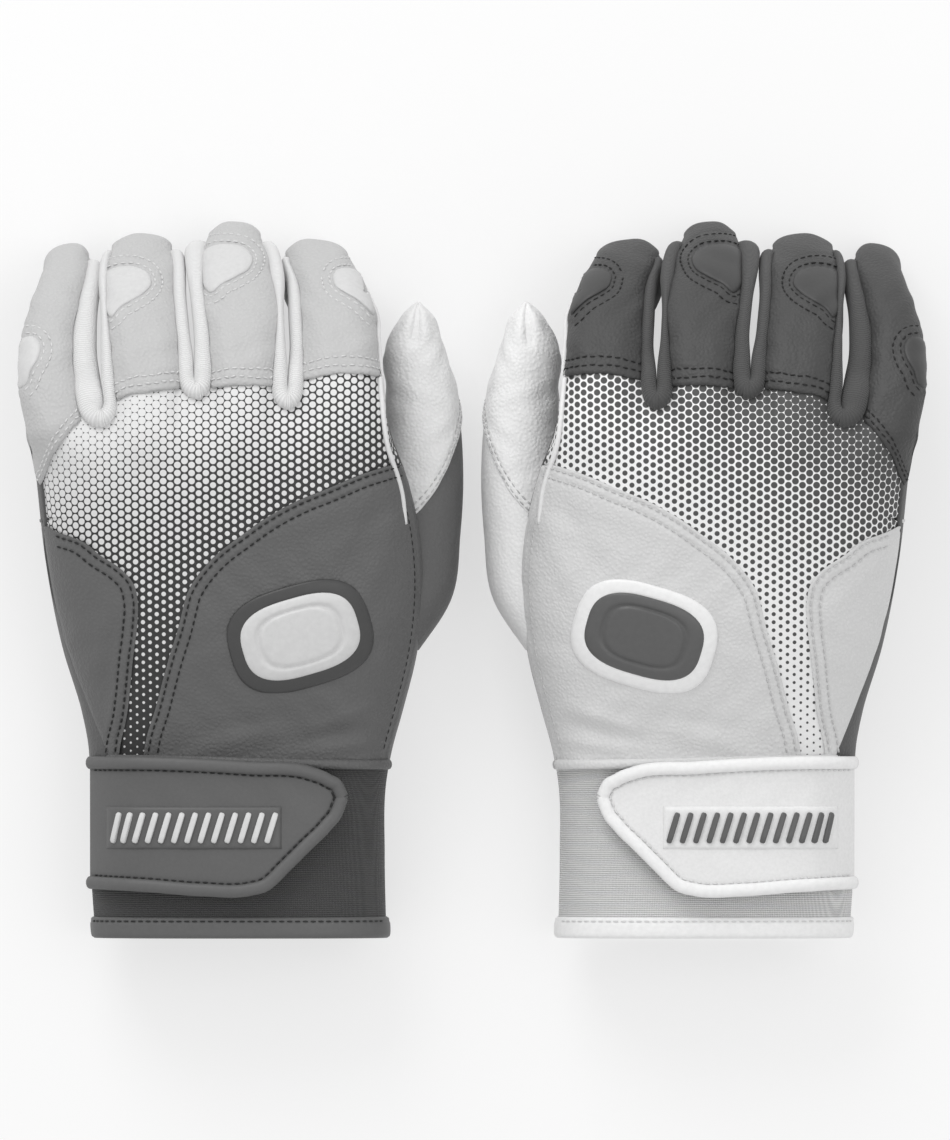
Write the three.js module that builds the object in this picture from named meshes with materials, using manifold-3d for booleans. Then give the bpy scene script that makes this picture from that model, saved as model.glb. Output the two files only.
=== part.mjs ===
// A pair of batting gloves, lying palm down with the fingers curled to the table.
// Millimetres. +X to the right glove, +Y towards the fingertips, +Z up from the table.
// Each glove is modelled with its thumb towards +X and the right one is its mirror image.
import * as THREE from "three";
import { mergeVertices } from "three/addons/utils/BufferGeometryUtils.js";
import Module from "manifold-3d";

const wasm = await Module();
wasm.setup();

// Sheet goods
const LEATHER = 1.4; // palm, thumb and finger leather
const BACK_FABRIC = 1.2; // printed stretch panel on the back of the hand
const GUSSET = 1.0; // stretch fourchettes between the fingers
const CUFF_FABRIC = 2.2;
const BINDING = 2.8;
const STRAP = 1.8;
const STRAP_EDGE = 0.8;
const PAD = 0.8; // hook and loop pads
const BADGE_BASE = 1.0;
const BADGE_FACE = 1.2;
const GRIP = 1.0;
const INSERT = 0.7; // stretch insert over each middle knuckle
const SEAM_GAP = 0.4; // clearance between sewn neighbours
const LAYER_GAP = 0.5; // clearance under a piece that lies on another

// Cuff
const CUFF_LENGTH = 52;
const BINDING_WIDTH = 6.5;
const SLIT_WIDTH = 4; // opening of the cuff on the little-finger side
const REST_SINK = 1.2; // how deep the soft underside is pressed flat by the table

// Hand: one section a row, [y, little-finger edge, thumb edge, back, side seam, palm]
const HAND_SECTIONS = [
  [0, -41, 44, 41, 20, -REST_SINK],
  [24, -42.5, 43.5, 42.2, 20, -REST_SINK],
  [46, -42.5, 44, 43.3, 21, -REST_SINK],
  [55, -42.6, 45.6, 44.6, 21.5, -REST_SINK / 2],
  [66, -44.6, 48.6, 48.8, 22.5, 3],
  [84, -50, 53, 56, 25, 9],
  [110, -55, 54.5, 63, 33, 24],
  [134, -57.5, 50, 68, 46, 38],
  [148, -59, 45, 69, 53, 46],
  [156, -59.5, 43.6, 66.8, 53, 46.5],
  [164, -60, 42.8, 63, 50, 44],
  [174, -60, 42.5, 56.5, 45, 40],
];
const ROUNDNESS = 2.5; // superellipse power of a hand section
const THUMB_SHOULDER = 136; // where the seams of the back meet the edges of the hand
const OUTER_SHOULDER = 121.5;
const PALM_FRONT = 151; // where the palm leather leaves the hand for the fingers

// Seams on the back of the hand, [y, x] or [x, y] points of a smooth curve
const THUMB_PANEL_SEAM = [
  [52, -26], [80, -20.5], [97, -14], [106, -9.3], [113, -2], [124, 18.5], [136, 46], [140, 60],
];
const OUTER_PANEL_SEAM = [
  [52, -34.5], [70, -31], [93, -28.5], [102, -29], [108, -33], [113, -41], [121.5, -56], [126, -66],
];
const KNUCKLE_SEAM = [
  [-70, 112], [-57, 131], [-50, 142], [-40, 150], [-25, 157], [0, 161], [28, 163.5], [60, 162],
];

// Fingers: x at the root and tip, reach of the curled finger along Y, width and depth,
// and how far round from the thumb side its stretch insert is centred, in turns
const FINGERS = {
  index: { root: 29, tip: 24.3, reach: 204.5, width: 26, depth: 21, insert: 0.15 },
  middle: { root: 2.4, tip: -2.2, reach: 210.5, width: 25, depth: 21, insert: 0.3 },
  ring: { root: -24.5, tip: -27.6, reach: 206, width: 24, depth: 20, insert: 0.31 },
  little: { root: -48.5, tip: -50.8, reach: 203, width: 20.5, depth: 18, insert: 0.36 },
};
const FINGER_ROOT = 146;
const FINGER_START = 12; // slope of a finger at its root, degrees below level
const KNUCKLE_BEND = 46; // slope at the middle knuckle, where the finger flexes
const FINGER_ROUNDNESS = 2.4;
const FLEX_RANGE = 40; // further curl, degrees
const STRETCH_RANGE = 30; // straightening, degrees
const FLEX_GAP = 0.35; // clearance at the middle knuckle's axis
const GUSSET_HALF_ANGLE = 24; // half the arc that a fourchette takes from a finger's side, degrees

// Thumb: [y, x, z, half width, half depth]
const THUMB_SECTIONS = [
  [82, 38, 28, 14, 12],
  [98, 46, 25.5, 16.5, 15],
  [118, 51, 24, 14.5, 15],
  [136, 54, 22.5, 12.3, 14],
  [158, 54.2, 20.5, 10, 11.5],
  [172, 52.2, 19.8, 8, 9],
  [180, 52.7, 19.3, 4.8, 6.5],
  [185, 53, 19, 1.6, 4],
];
const THUMB_JOINT = 140;
const THUMB_FLEX = 25;
const THUMB_STRETCH = 15;

// Strap and its fittings, in the developed x, y of the back of the wrist
const STRAP_REACH = 31; // x of the strap's pointed end
const STRAP_SHORT_REACH = 12; // x where its slanted end meets the lower edge
const STRAP_HIGH = 51; // y of its upper edge
const STRAP_NOSE_DROP = 10; // from the upper edge down to the tip of the nose
const STRAP_NOSE_ROUND = 6; // from the tip of the nose back to the upper edge's end
const STRAP_LOW = 13; // y of its lower edge
const STRAP_EDGE_WIDTH = 4.2;
const GRIP_LENGTH = 50;
const GRIP_WIDTH = 10;
const PAD_MARGIN = 8;
const HINGE_INSET = 3; // the strap's folded root, in from the cuff's little-finger edge

// Badge: a plain moulded shield on the thumb-side panel
const BADGE = { x: 19, y: 88, length: 42, width: 30, lean: 0.28, rim: 4.5 };
// Stretch insert on each finger
const INSERT_LENGTH = 20; // along the middle of the finger
const INSERT_WIDTH = 13;
const INSERT_FORWARD = 5; // of its middle, past the knuckle's axis

const GLOVE_SPACING = 137.6; // between the two wrists' centre lines

const degrees = THREE.MathUtils.degToRad;
const lerp = THREE.MathUtils.lerp;

// A smooth function through [position, value, ...] rows.
function curveThrough(rows, column = 1) {
  const positions = rows.map((row) => row[0]);
  const values = rows.map((row) => row[column]);
  const interpolant = new THREE.CubicInterpolant(positions, values, 1);
  const [first, last] = [positions[0], positions.at(-1)];
  return (t) => interpolant.evaluate(THREE.MathUtils.clamp(t, first, last))[0];
}

// A closed, outward-facing geometry from points and triangles.
function closedGeometry(points, triangles) {
  let volume = 0;
  for (const [a, b, c] of triangles) {
    volume += points[a].dot(new THREE.Vector3().crossVectors(points[b], points[c]));
  }
  const index = triangles.flatMap(([a, b, c]) => (volume < 0 ? [a, c, b] : [a, b, c]));
  const geometry = new THREE.BufferGeometry().setFromPoints(points);
  return geometry.setIndex(index);
}

// A sheet of rows by columns cells between an outer and an inner surface. wrap joins its two sides.
function sheet(rows, columns, outer, inner, wrap = false) {
  const points = [];
  const triangles = [];
  const across = wrap ? columns : columns + 1;
  for (const surface of [outer, inner]) {
    for (let i = 0; i <= rows; i++) {
      for (let j = 0; j < across; j++) points.push(surface(i / rows, j / columns));
    }
  }
  const layer = (rows + 1) * across;
  const at = (side, i, j) => side * layer + i * across + (j % across);
  const quad = (a, b, c, d) => triangles.push([a, b, c], [a, c, d]);
  for (let i = 0; i < rows; i++) {
    for (let j = 0; j < columns; j++) {
      quad(at(0, i, j), at(0, i, j + 1), at(0, i + 1, j + 1), at(0, i + 1, j));
      quad(at(1, i, j), at(1, i + 1, j), at(1, i + 1, j + 1), at(1, i, j + 1));
    }
    if (wrap) continue;
    quad(at(0, i, 0), at(0, i + 1, 0), at(1, i + 1, 0), at(1, i, 0));
    quad(at(0, i, columns), at(1, i, columns), at(1, i + 1, columns), at(0, i + 1, columns));
  }
  for (let j = 0; j < columns; j++) {
    quad(at(0, 0, j), at(1, 0, j), at(1, 0, j + 1), at(0, 0, j + 1));
    quad(at(0, rows, j), at(0, rows, j + 1), at(1, rows, j + 1), at(1, rows, j));
  }
  return closedGeometry(points, triangles);
}

// A round patch or thimble: rings from the edge to one pole, between two surfaces.
function cap(rings, spokes, outer, inner) {
  const points = [];
  const triangles = [];
  const layer = rings * spokes + 1;
  for (const surface of [outer, inner]) {
    for (let i = 0; i < rings; i++) {
      for (let j = 0; j < spokes; j++) points.push(surface(i / rings, j / spokes));
    }
    points.push(surface(1, 0));
  }
  const at = (side, i, j) => side * layer + (i === rings ? rings * spokes : i * spokes + (j % spokes));
  for (let j = 0; j < spokes; j++) {
    for (const side of [0, 1]) {
      const face = (a, b, c) => triangles.push(side ? [a, c, b] : [a, b, c]);
      for (let i = 0; i < rings; i++) {
        face(at(side, i, j), at(side, i, j + 1), at(side, i + 1, j));
        if (i < rings - 1) face(at(side, i, j + 1), at(side, i + 1, j + 1), at(side, i + 1, j));
      }
    }
    triangles.push([at(0, 0, j), at(1, 0, j), at(0, 0, j + 1)]);
    triangles.push([at(0, 0, j + 1), at(1, 0, j), at(1, 0, j + 1)]);
  }
  return closedGeometry(points, triangles);
}

// A solid loft through rings of points, closed by a flat fan at each end.
function loft(rings, spokes, point) {
  const centre = (i) => {
    const sum = new THREE.Vector3();
    for (let j = 0; j < spokes; j++) sum.add(point(i, j / spokes));
    return sum.divideScalar(spokes);
  };
  const points = [centre(0), centre(1)];
  const triangles = [];
  const at = (i, j) => 2 + i * spokes + (j % spokes);
  for (let i = 0; i <= rings; i++) {
    for (let j = 0; j < spokes; j++) points.push(point(i / rings, j / spokes));
  }
  for (let j = 0; j < spokes; j++) {
    triangles.push([0, at(0, j + 1), at(0, j)], [1, at(rings, j), at(rings, j + 1)]);
    for (let i = 0; i < rings; i++) {
      triangles.push([at(i, j), at(i, j + 1), at(i + 1, j + 1)], [at(i, j), at(i + 1, j + 1), at(i + 1, j)]);
    }
  }
  return closedGeometry(points, triangles);
}

// Boolean work
function solid(geometry) {
  const bare = mergeVertices(new THREE.BufferGeometry()
    .setAttribute("position", geometry.getAttribute("position")).setIndex(geometry.getIndex()), 1e-4);
  return new wasm.Manifold(new wasm.Mesh({
    numProp: 3,
    vertProperties: bare.getAttribute("position").array,
    triVerts: new Uint32Array(bare.getIndex().array),
  }));
}

function geometryOf(manifold) {
  const { vertProperties, triVerts } = manifold.getMesh();
  return new THREE.BufferGeometry()
    .setAttribute("position", new THREE.BufferAttribute(vertProperties, 3))
    .setIndex(new THREE.BufferAttribute(triVerts, 1));
}

const signedPower = (value, power) => Math.sign(value) * Math.abs(value) ** power;

// The hand's outer surface, grown by offset. Turn 0 is the thumb side, a quarter the back.
const hand = Object.fromEntries(["little", "thumb", "back", "seam", "palm"]
  .map((name, i) => [name, curveThrough(HAND_SECTIONS, i + 1)]));

function handPoint(y, turn, offset = 0) {
  const angle = turn * 2 * Math.PI;
  const seam = hand.seam(y);
  const width = (hand.thumb(y) - hand.little(y)) / 2 + offset;
  const height = (Math.sin(angle) > 0 ? hand.back(y) - seam : seam - hand.palm(y)) + offset;
  const x = (hand.thumb(y) + hand.little(y)) / 2 + width * signedPower(Math.cos(angle), 2 / ROUNDNESS);
  const z = seam + height * signedPower(Math.sin(angle), 2 / ROUNDNESS);
  return new THREE.Vector3(x, y, Math.max(z, -Math.min(offset, 0)));
}

// The turn at which the back of the hand passes over x.
function turnAt(x, y) {
  const middle = (hand.thumb(y) + hand.little(y)) / 2;
  const share = THREE.MathUtils.clamp((x - middle) / (hand.thumb(y) - middle), -1, 1);
  return Math.acos(signedPower(share, ROUNDNESS / 2)) / (2 * Math.PI);
}

const onBack = (x, y, offset) => handPoint(y, turnAt(x, y), offset);
const thumbPanelSeam = curveThrough(THUMB_PANEL_SEAM);
const outerPanelSeam = curveThrough(OUTER_PANEL_SEAM);
const knuckleSeam = curveThrough(KNUCKLE_SEAM);
const SIDE_TURN = 0.004; // stops the back panels just short of the side seams

// Back panels are ruled between a left and a right border, given as x and y at a share of the way up.
// rise lifts the rows above the panel's shoulder to its curved upper edge.
function backPanel(rows, columns, thickness, left, right, rise = () => 0) {
  const surface = (offset) => (row, column) => {
    const share = lerp(column, (1 - Math.cos(column * Math.PI)) / 2, 0.6);
    const [leftX, leftY] = left(row);
    const [rightX, rightY] = right(row);
    const x = lerp(leftX, rightX, share);
    const y = lerp(leftY, rightY, share);
    const turn = THREE.MathUtils.clamp(turnAt(x, y), SIDE_TURN, 0.5 - SIDE_TURN);
    return handPoint(y + rise(row, x, y), turn, offset);
  };
  return sheet(rows, columns, surface(0), surface(-thickness));
}

const half = SEAM_GAP / 2;
const WRIST = CUFF_LENGTH + SEAM_GAP;
const ROWS = 10; // along the long seams, the same on both sides of each seam
const UPPER_ROWS = 4; // from the shoulders of the printed panel to the knuckles
const shoulder = ROWS / (ROWS + UPPER_ROWS);
const thumbLevel = (share) => lerp(WRIST, THUMB_SHOULDER, share);
const outerLevel = (share) => lerp(WRIST, OUTER_SHOULDER, share);

const thumbPanel = backPanel(ROWS, 6, LEATHER,
  (share) => [thumbPanelSeam(thumbLevel(share)) + half, thumbLevel(share) - half],
  (share) => [hand.thumb(thumbLevel(share)), thumbLevel(share) - half]);
const outerPanel = backPanel(ROWS, 3, LEATHER,
  (share) => [hand.little(outerLevel(share)), outerLevel(share) - half],
  (share) => [outerPanelSeam(outerLevel(share)) - half, outerLevel(share) - half]);

function printedBorder(row, seam, edge, level, top, gap) {
  if (row <= shoulder) {
    const y = level(row / shoulder);
    return [seam(y) + gap, y + half];
  }
  const y = lerp(level(1), top, (row - shoulder) / (1 - shoulder));
  return [edge(y), y + half];
}
const topLittle = knuckleSeam(hand.little(OUTER_SHOULDER));
const topThumb = knuckleSeam(hand.thumb(THUMB_SHOULDER));
const printedPanel = backPanel(ROWS + UPPER_ROWS, 10, BACK_FABRIC,
  (row) => printedBorder(row, outerPanelSeam, hand.little, outerLevel, topLittle, half),
  (row) => printedBorder(row, thumbPanelSeam, hand.thumb, thumbLevel, topThumb, -half),
  (row, x, y) => Math.max(0, (row - shoulder) / (1 - shoulder)) * (knuckleSeam(x) - half - y)
    * (row > 0.999 ? 1 : 0.85));

// A patch of the back of the hand: outline gives its half extents at a share of a turn.
function backPatch(rings, spokes, low, high, outline) {
  const surface = (offset) => (ring, spoke) => {
    const [x, y] = outline(spoke * 2 * Math.PI, 1 - ring);
    return onBack(x, y, offset);
  };
  return cap(rings, spokes, surface(high), surface(low));
}

const shield = (inset) => (angle, scale) => {
  const across = (BADGE.length / 2 - inset) * scale * signedPower(Math.cos(angle), 0.55);
  const up = (BADGE.width / 2 - inset) * scale * signedPower(Math.sin(angle), 0.55);
  return [BADGE.x + across + up * BADGE.lean, BADGE.y + up];
};
const badgeTop = LAYER_GAP + BADGE_BASE;
const badgeBase = backPatch(2, 16, LAYER_GAP, badgeTop, shield(0));
const faceLow = badgeTop + LAYER_GAP;
const badgeFace = backPatch(2, 16, faceLow, faceLow + BADGE_FACE, shield(BADGE.rim));

// Cuff: a band with a slit on the little-finger side, and its lower binding.
const slitTurn = SLIT_WIDTH / 2 / 190;
const SLIT_TURN = 0.53; // just under the side, on the palm's half
function band(low, high, thickness, offset, rows, columns) {
  const surface = (away) => (row, column) =>
    handPoint(lerp(low, high, row), SLIT_TURN + slitTurn + column * (1 - 2 * slitTurn), away);
  return sheet(rows, columns, surface(offset), surface(offset - thickness));
}
const cuffBand = band(BINDING_WIDTH + half, CUFF_LENGTH, CUFF_FABRIC, 0, 4, 26);
const cuffBinding = band(0, BINDING_WIDTH - half, BINDING, (BINDING - CUFF_FABRIC) / 2, 1, 26);

// Strap: its outline runs from the root round the slanted end, in developed x and y.
const strapRoot = hand.little((STRAP_HIGH + STRAP_LOW) / 2) + HINGE_INSET;
const strapNose = STRAP_HIGH - STRAP_NOSE_DROP;
function strapOutline(inset) {
  const corners = [
    [strapRoot + inset, STRAP_LOW + inset], [STRAP_SHORT_REACH - inset / 2, STRAP_LOW + inset],
    [STRAP_REACH - 1.2 * inset, strapNose],
    [STRAP_REACH - STRAP_NOSE_ROUND - inset / 2, STRAP_HIGH - inset],
    [strapRoot + inset, STRAP_HIGH - inset],
  ];
  const outline = new THREE.CurvePath();
  corners.forEach(([x, y], i) => {
    const next = corners[(i + 1) % corners.length];
    outline.add(new THREE.LineCurve(new THREE.Vector2(x, y), new THREE.Vector2(...next)));
  });
  return outline;
}
const loopLow = LAYER_GAP;
const loopHigh = loopLow + PAD;
const hookLow = loopHigh + SEAM_GAP;
const hookHigh = hookLow + PAD;
const strapLow = hookHigh + LAYER_GAP;
const strapHigh = strapLow + STRAP;
const edgeLow = strapHigh + 1.4 * LAYER_GAP;
const outlineOuter = strapOutline(0);
const outlineInner = strapOutline(STRAP_EDGE_WIDTH);
const STRAP_STEPS = 36;

function strapRows(low, high, inset, rows, columns) {
  const upper = (y) => THREE.MathUtils.clamp((y - STRAP_LOW) / (strapNose - STRAP_LOW), 0, 1);
  const end = (y) => Math.min(lerp(STRAP_SHORT_REACH, STRAP_REACH, upper(y)),
    STRAP_REACH - Math.max(0, y - strapNose) * 0.5) - 1.4 * inset;
  const surface = (offset) => (row, column) => {
    const y = lerp(STRAP_LOW + inset, STRAP_HIGH - inset, row);
    const near = turnAt(end(y), y);
    const far = turnAt(strapRoot + inset, y);
    return handPoint(y, lerp(far, near, column), offset);
  };
  return sheet(rows, columns, surface(high), surface(low));
}
const strapTab = strapRows(strapLow, strapHigh, 0, 4, 10);
const hookPad = strapRows(hookLow, hookHigh, PAD_MARGIN, 2, 8);
const loopPad = strapRows(loopLow, loopHigh, PAD_MARGIN - 1, 2, 8);

const strapEdge = sheet(2, STRAP_STEPS,
  (row, column) => edgePoint(row, column, edgeLow + STRAP_EDGE),
  (row, column) => edgePoint(row, column, edgeLow), true);
function edgePoint(row, column, offset) {
  const a = outlineOuter.getPoint(column);
  const b = outlineInner.getPoint(column);
  return onBack(lerp(a.x, b.x, row), lerp(a.y, b.y, row), offset);
}

// Grip: a low moulded bar with rounded ends.
const gripStart = strapRoot + STRAP_EDGE_WIDTH + 2;
const gripLevel = (STRAP_HIGH + STRAP_LOW) / 2;
const gripSurface = (offset) => (row, column) => {
  const swell = Math.max(1 - Math.abs(2 * column - 1) ** 8, 0.2);
  return onBack(gripStart + GRIP_LENGTH * column, gripLevel + (row - 0.5) * GRIP_WIDTH * swell, offset);
};
const gripBar = sheet(1, 9, gripSurface(edgeLow + GRIP), gripSurface(edgeLow));

// A finger as a tube along an arc that leaves the hand and curls down to the table.
function finger({ root, tip, reach, width, depth, insert }) {
  const start = degrees(FINGER_START);
  const rise = onBack(root, FINGER_ROOT, 0).z - depth / 2;
  const radius = (reach - depth / 2 - FINGER_ROOT) / (1 - Math.sin(start));
  const end = Math.acos(Math.cos(start) - (rise - depth / 2 + REST_SINK / 2) / radius);
  const tipAngle = depth / 2 / radius;
  const knuckle = degrees(KNUCKLE_BEND);
  const centre = (slope) => new THREE.Vector3(
    lerp(root, tip, (slope - start) / (end - start)),
    FINGER_ROOT + radius * (Math.sin(slope) - Math.sin(start)),
    rise + radius * (Math.cos(slope) - Math.cos(start)));
  const point = (slope, turn, offset) => {
    const past = THREE.MathUtils.clamp((slope - end) / tipAngle, 0, 1);
    const round = Math.sqrt(1 - past * past);
    const angle = turn * 2 * Math.PI;
    const across = (width / 2 + offset) * round * signedPower(Math.cos(angle), 2 / FINGER_ROUNDNESS);
    const up = (depth / 2 + offset) * round * signedPower(Math.sin(angle), 2 / FINGER_ROUNDNESS);
    const slant = slope + past * offset / radius;
    const made = centre(slant).add(new THREE.Vector3(across, up * Math.sin(slant), up * Math.cos(slant)));
    made.z = Math.max(made.z, -Math.min(offset, 0));
    return made;
  };
  // Half the opening at the middle knuckle, wider away from its axis so that the finger can turn.
  const opening = (turn) => {
    const height = (depth / 2) * signedPower(Math.sin(turn * 2 * Math.PI), 2 / FINGER_ROUNDNESS);
    const limit = height > 0 ? STRETCH_RANGE : FLEX_RANGE;
    return (FLEX_GAP + Math.abs(height) * 1.12 * Math.tan(degrees(limit / 2))) / radius;
  };
  return { start, end, tipAngle, knuckle, radius, centre, point, opening, width, depth, insert };
}

// A strip of a finger's lower sleeve between two turns, from the slope that from(turn) gives.
function sleeve(f, fromTurn, toTurn, from, thickness, rows, columns, offset = 0) {
  const surface = (away) => (row, column) => {
    const turn = lerp(fromTurn, toTurn, column);
    return f.point(lerp(from(turn), f.knuckle - f.opening(turn), row), turn, away);
  };
  return sheet(rows, columns, surface(offset), surface(offset - thickness));
}

// The slope at which a strip of the finger's back has passed the knuckle seam.
function seamSlope(f) {
  return (turn) => {
    let slope = f.start;
    const side = turn > 0.45 || turn < 0.05;
    const short = (at) => at.y < Math.max(knuckleSeam(at.x), side ? PALM_FRONT : 0) + half;
    while (slope < f.knuckle - 0.25 && short(f.point(slope, turn, 0))) slope += 0.005;
    return slope;
  };
}

function fingertip(f) {
  const surface = (offset) => (ring, spoke) => f.point(
    lerp(f.knuckle + f.opening(spoke), f.end + f.tipAngle, Math.sin(ring * Math.PI / 2)), spoke, offset);
  return cap(6, 14, surface(0), surface(-LEATHER));
}

function knuckleInsert(f) {
  const surface = (offset) => (ring, spoke) => {
    const angle = spoke * 2 * Math.PI;
    const along = INSERT_FORWARD + (INSERT_LENGTH / 2) * (1 - ring) * Math.sin(angle);
    const across = (INSERT_WIDTH / 2) * (1 - ring) * Math.cos(angle);
    const turn = f.insert - across / (Math.PI * (f.width + f.depth) / 2);
    return f.point(f.knuckle + along / f.radius, turn, offset);
  };
  return cap(2, 12, surface(LAYER_GAP + INSERT), surface(LAYER_GAP));
}

const gussetTurn = GUSSET_HALF_ANGLE / 360;
const edgeTurn = gussetTurn + SEAM_GAP / 75; // leather stops this far past the side
const fingers = Object.fromEntries(Object.entries(FINGERS).map(([name, sizes]) => [name, finger(sizes)]));

// Back leather of a finger, running on round its free side where it has no fourchette.
function fingerBack(name, f) {
  const low = name === "index" ? -0.06 : edgeTurn;
  const high = name === "little" ? 0.56 : 0.5 - edgeTurn;
  return sleeve(f, low, high, seamSlope(f), LEATHER, 4, 6);
}

// Palm leather: the hand's lower shell with a tongue up the front of each finger.
function palmLeather(thumbHollow) {
  const surface = (offset) => (row, column) =>
    handPoint(lerp(WRIST, PALM_FRONT, row), 0.5 + SIDE_TURN + column * (0.5 - 2 * SIDE_TURN), offset);
  let leather = solid(sheet(8, 12, surface(0), surface(-LEATHER)));
  for (const [name, f] of Object.entries(fingers)) {
    const low = name === "little" ? 0.56 + SEAM_GAP / 75 : 0.5 + edgeTurn;
    const high = name === "index" ? 0.94 - SEAM_GAP / 75 : 1 - edgeTurn;
    leather = leather.add(solid(sleeve(f, low, high, () => f.start, LEATHER, 3, 4)));
  }
  return geometryOf(leather.subtract(thumbHollow));
}

// Fourchette: the facing sides of two fingers and the web that joins them at the root.
function fourchette(thumbward, littleward) {
  const side = (f, middle) => solid(sleeve(f, middle - gussetTurn, middle + gussetTurn,
    () => f.start, GUSSET, 3, 2));
  const web = solid(loft(1, 8, (i, j) => {
    const f = i ? littleward : thumbward;
    const turn = i ? 0 : 0.5;
    const angle = j * 2 * Math.PI;
    const across = i ? -GUSSET / 2 : GUSSET / 2;
    const at = f.point(f.start, turn, 0);
    return new THREE.Vector3(at.x + across, at.y + 1.6 + 1.5 * Math.cos(angle), at.z + 3 * Math.sin(angle));
  }));
  return geometryOf(side(thumbward, 0.5).add(side(littleward, 0)).add(web));
}

// Thumb: a tapering tube beside the palm, pinched to a point.
const thumb = Object.fromEntries(["x", "z", "width", "depth"]
  .map((name, i) => [name, curveThrough(THUMB_SECTIONS, i + 1)]));
const THUMB_TIP = THUMB_SECTIONS.at(-1)[0];

function thumbPoint(y, turn, offset) {
  const angle = turn * 2 * Math.PI;
  const across = Math.max(thumb.width(y) + offset, 0.4) * signedPower(Math.cos(angle), 0.9);
  const up = Math.max(thumb.depth(y) + offset, 0.6) * signedPower(Math.sin(angle), 0.9);
  return new THREE.Vector3(thumb.x(y) + across, y, thumb.z(y) + up);
}

const thumbOpening = (turn) => {
  const height = thumb.depth(THUMB_JOINT) * Math.sin(turn * 2 * Math.PI);
  const limit = height > 0 ? THUMB_STRETCH : THUMB_FLEX;
  return FLEX_GAP + Math.abs(height) * 1.15 * Math.tan(degrees(limit / 2));
};
const thumbRoot = THUMB_SECTIONS[0][0];
const handGrown = solid(loft(12, 28, (i, j) => handPoint(lerp(40, 176, i), j, SEAM_GAP)));
const thumbHollow = solid(loft(4, 14, (i, j) =>
  thumbPoint(lerp(thumbRoot + LEATHER, THUMB_JOINT, i), j, -LEATHER)));

function thumbBase() {
  const surface = (offset) => (row, column) =>
    thumbPoint(lerp(thumbRoot, THUMB_JOINT - thumbOpening(column), row), column, offset);
  const sleeveSolid = solid(sheet(5, 14, surface(0), surface(-LEATHER), true));
  const outside = sleeveSolid.subtract(handGrown).decompose();
  return geometryOf(outside.sort((a, b) => b.volume() - a.volume())[0]);
}

function thumbEnd() {
  const surface = (offset) => (ring, spoke) => {
    const last = THUMB_TIP + (offset < 0 ? 2 * offset : 0);
    return thumbPoint(lerp(THUMB_JOINT + thumbOpening(spoke), last, ring), spoke,
      ring === 1 ? -thumb.depth(THUMB_JOINT) : offset);
  };
  const tipSolid = solid(cap(6, 14, surface(0), surface(-LEATHER)));
  return geometryOf(tipSolid.subtract(handGrown));
}

// Finishes of the two colourways, [colour, roughness].
const FINISHES = {
  left: {
    fingers: [0xdcdcdc, 0.5], panel: [0x5a5a5a, 0.5], printed: [0x8c8c8c, 0.6], gusset: [0xe2e2e2, 0.8],
    palm: [0x4b4b4b, 0.6], thumb: [0xd6d6d6, 0.5], cuff: [0x424242, 0.9], trim: [0x5c5c5c, 0.6],
    strap: [0x606060, 0.6], mark: [0xdcdcdc, 0.4], pad: [0x333333, 1],
  },
  right: {
    fingers: [0x4f4f4f, 0.5], panel: [0xcdcdcd, 0.5], printed: [0xa8a8a8, 0.6], gusset: [0x474747, 0.8],
    palm: [0x505050, 0.6], thumb: [0xd0d0d0, 0.5], cuff: [0xb9b9b9, 0.9], trim: [0xe4e4e4, 0.6],
    strap: [0xe2e2e2, 0.6], mark: [0x5e5e5e, 0.4], pad: [0xd8d8d8, 1],
  },
};

// Every piece of one glove: [name, finish, geometry].
const pieces = [
  ["palm_leather", "palm", palmLeather(thumbHollow)],
  ["printed_back_panel", "printed", printedPanel],
  ["thumb_side_panel", "panel", thumbPanel],
  ["outer_side_panel", "panel", outerPanel],
  ["badge_base", "panel", badgeBase],
  ["badge_face", "mark", badgeFace],
  ["cuff_band", "cuff", cuffBand],
  ["cuff_binding", "trim", cuffBinding],
  ["loop_pad", "pad", loopPad],
  ["hook_pad", "pad", hookPad],
  ["strap_tab", "strap", strapTab],
  ["strap_edge", "trim", strapEdge],
  ["strap_grip", "mark", gripBar],
  ["thumb_base", "thumb", thumbBase()],
  ["thumb_tip", "thumb", thumbEnd()],
  ["fourchette_index_middle", "gusset", fourchette(fingers.index, fingers.middle)],
  ["fourchette_middle_ring", "gusset", fourchette(fingers.middle, fingers.ring)],
  ["fourchette_ring_little", "gusset", fourchette(fingers.ring, fingers.little)],
];
for (const [name, f] of Object.entries(fingers)) {
  pieces.push([`${name}_finger_back`, "fingers", fingerBack(name, f)]);
  pieces.push([`${name}_fingertip`, "fingers", fingertip(f)]);
  pieces.push([`${name}_knuckle_insert`, "fingers", knuckleInsert(f)]);
}

// One glove as a group of named meshes. mirror is 1 for the left hand and -1 for the right.
function glove(side, mirror) {
  const group = new THREE.Group();
  for (const [name, finish, geometry] of pieces) {
    const [color, roughness] = FINISHES[side][finish];
    const mesh = new THREE.Mesh(geometry, new THREE.MeshStandardMaterial({ color, roughness, metalness: 0 }));
    mesh.name = `${side}_${name}`;
    group.add(mesh);
  }
  group.scale.x = mirror;
  group.position.x = -mirror * GLOVE_SPACING / 2;
  return group;
}

// The origin is under the middle of the pair's box.
const pair = new THREE.Group();
pair.add(glove("left", 1), glove("right", -1));
const box = new THREE.Box3().setFromObject(pair);
for (const each of pair.children) each.position.y = -(box.min.y + box.max.y) / 2;

export default pair;
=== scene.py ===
import functools
import math

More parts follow.
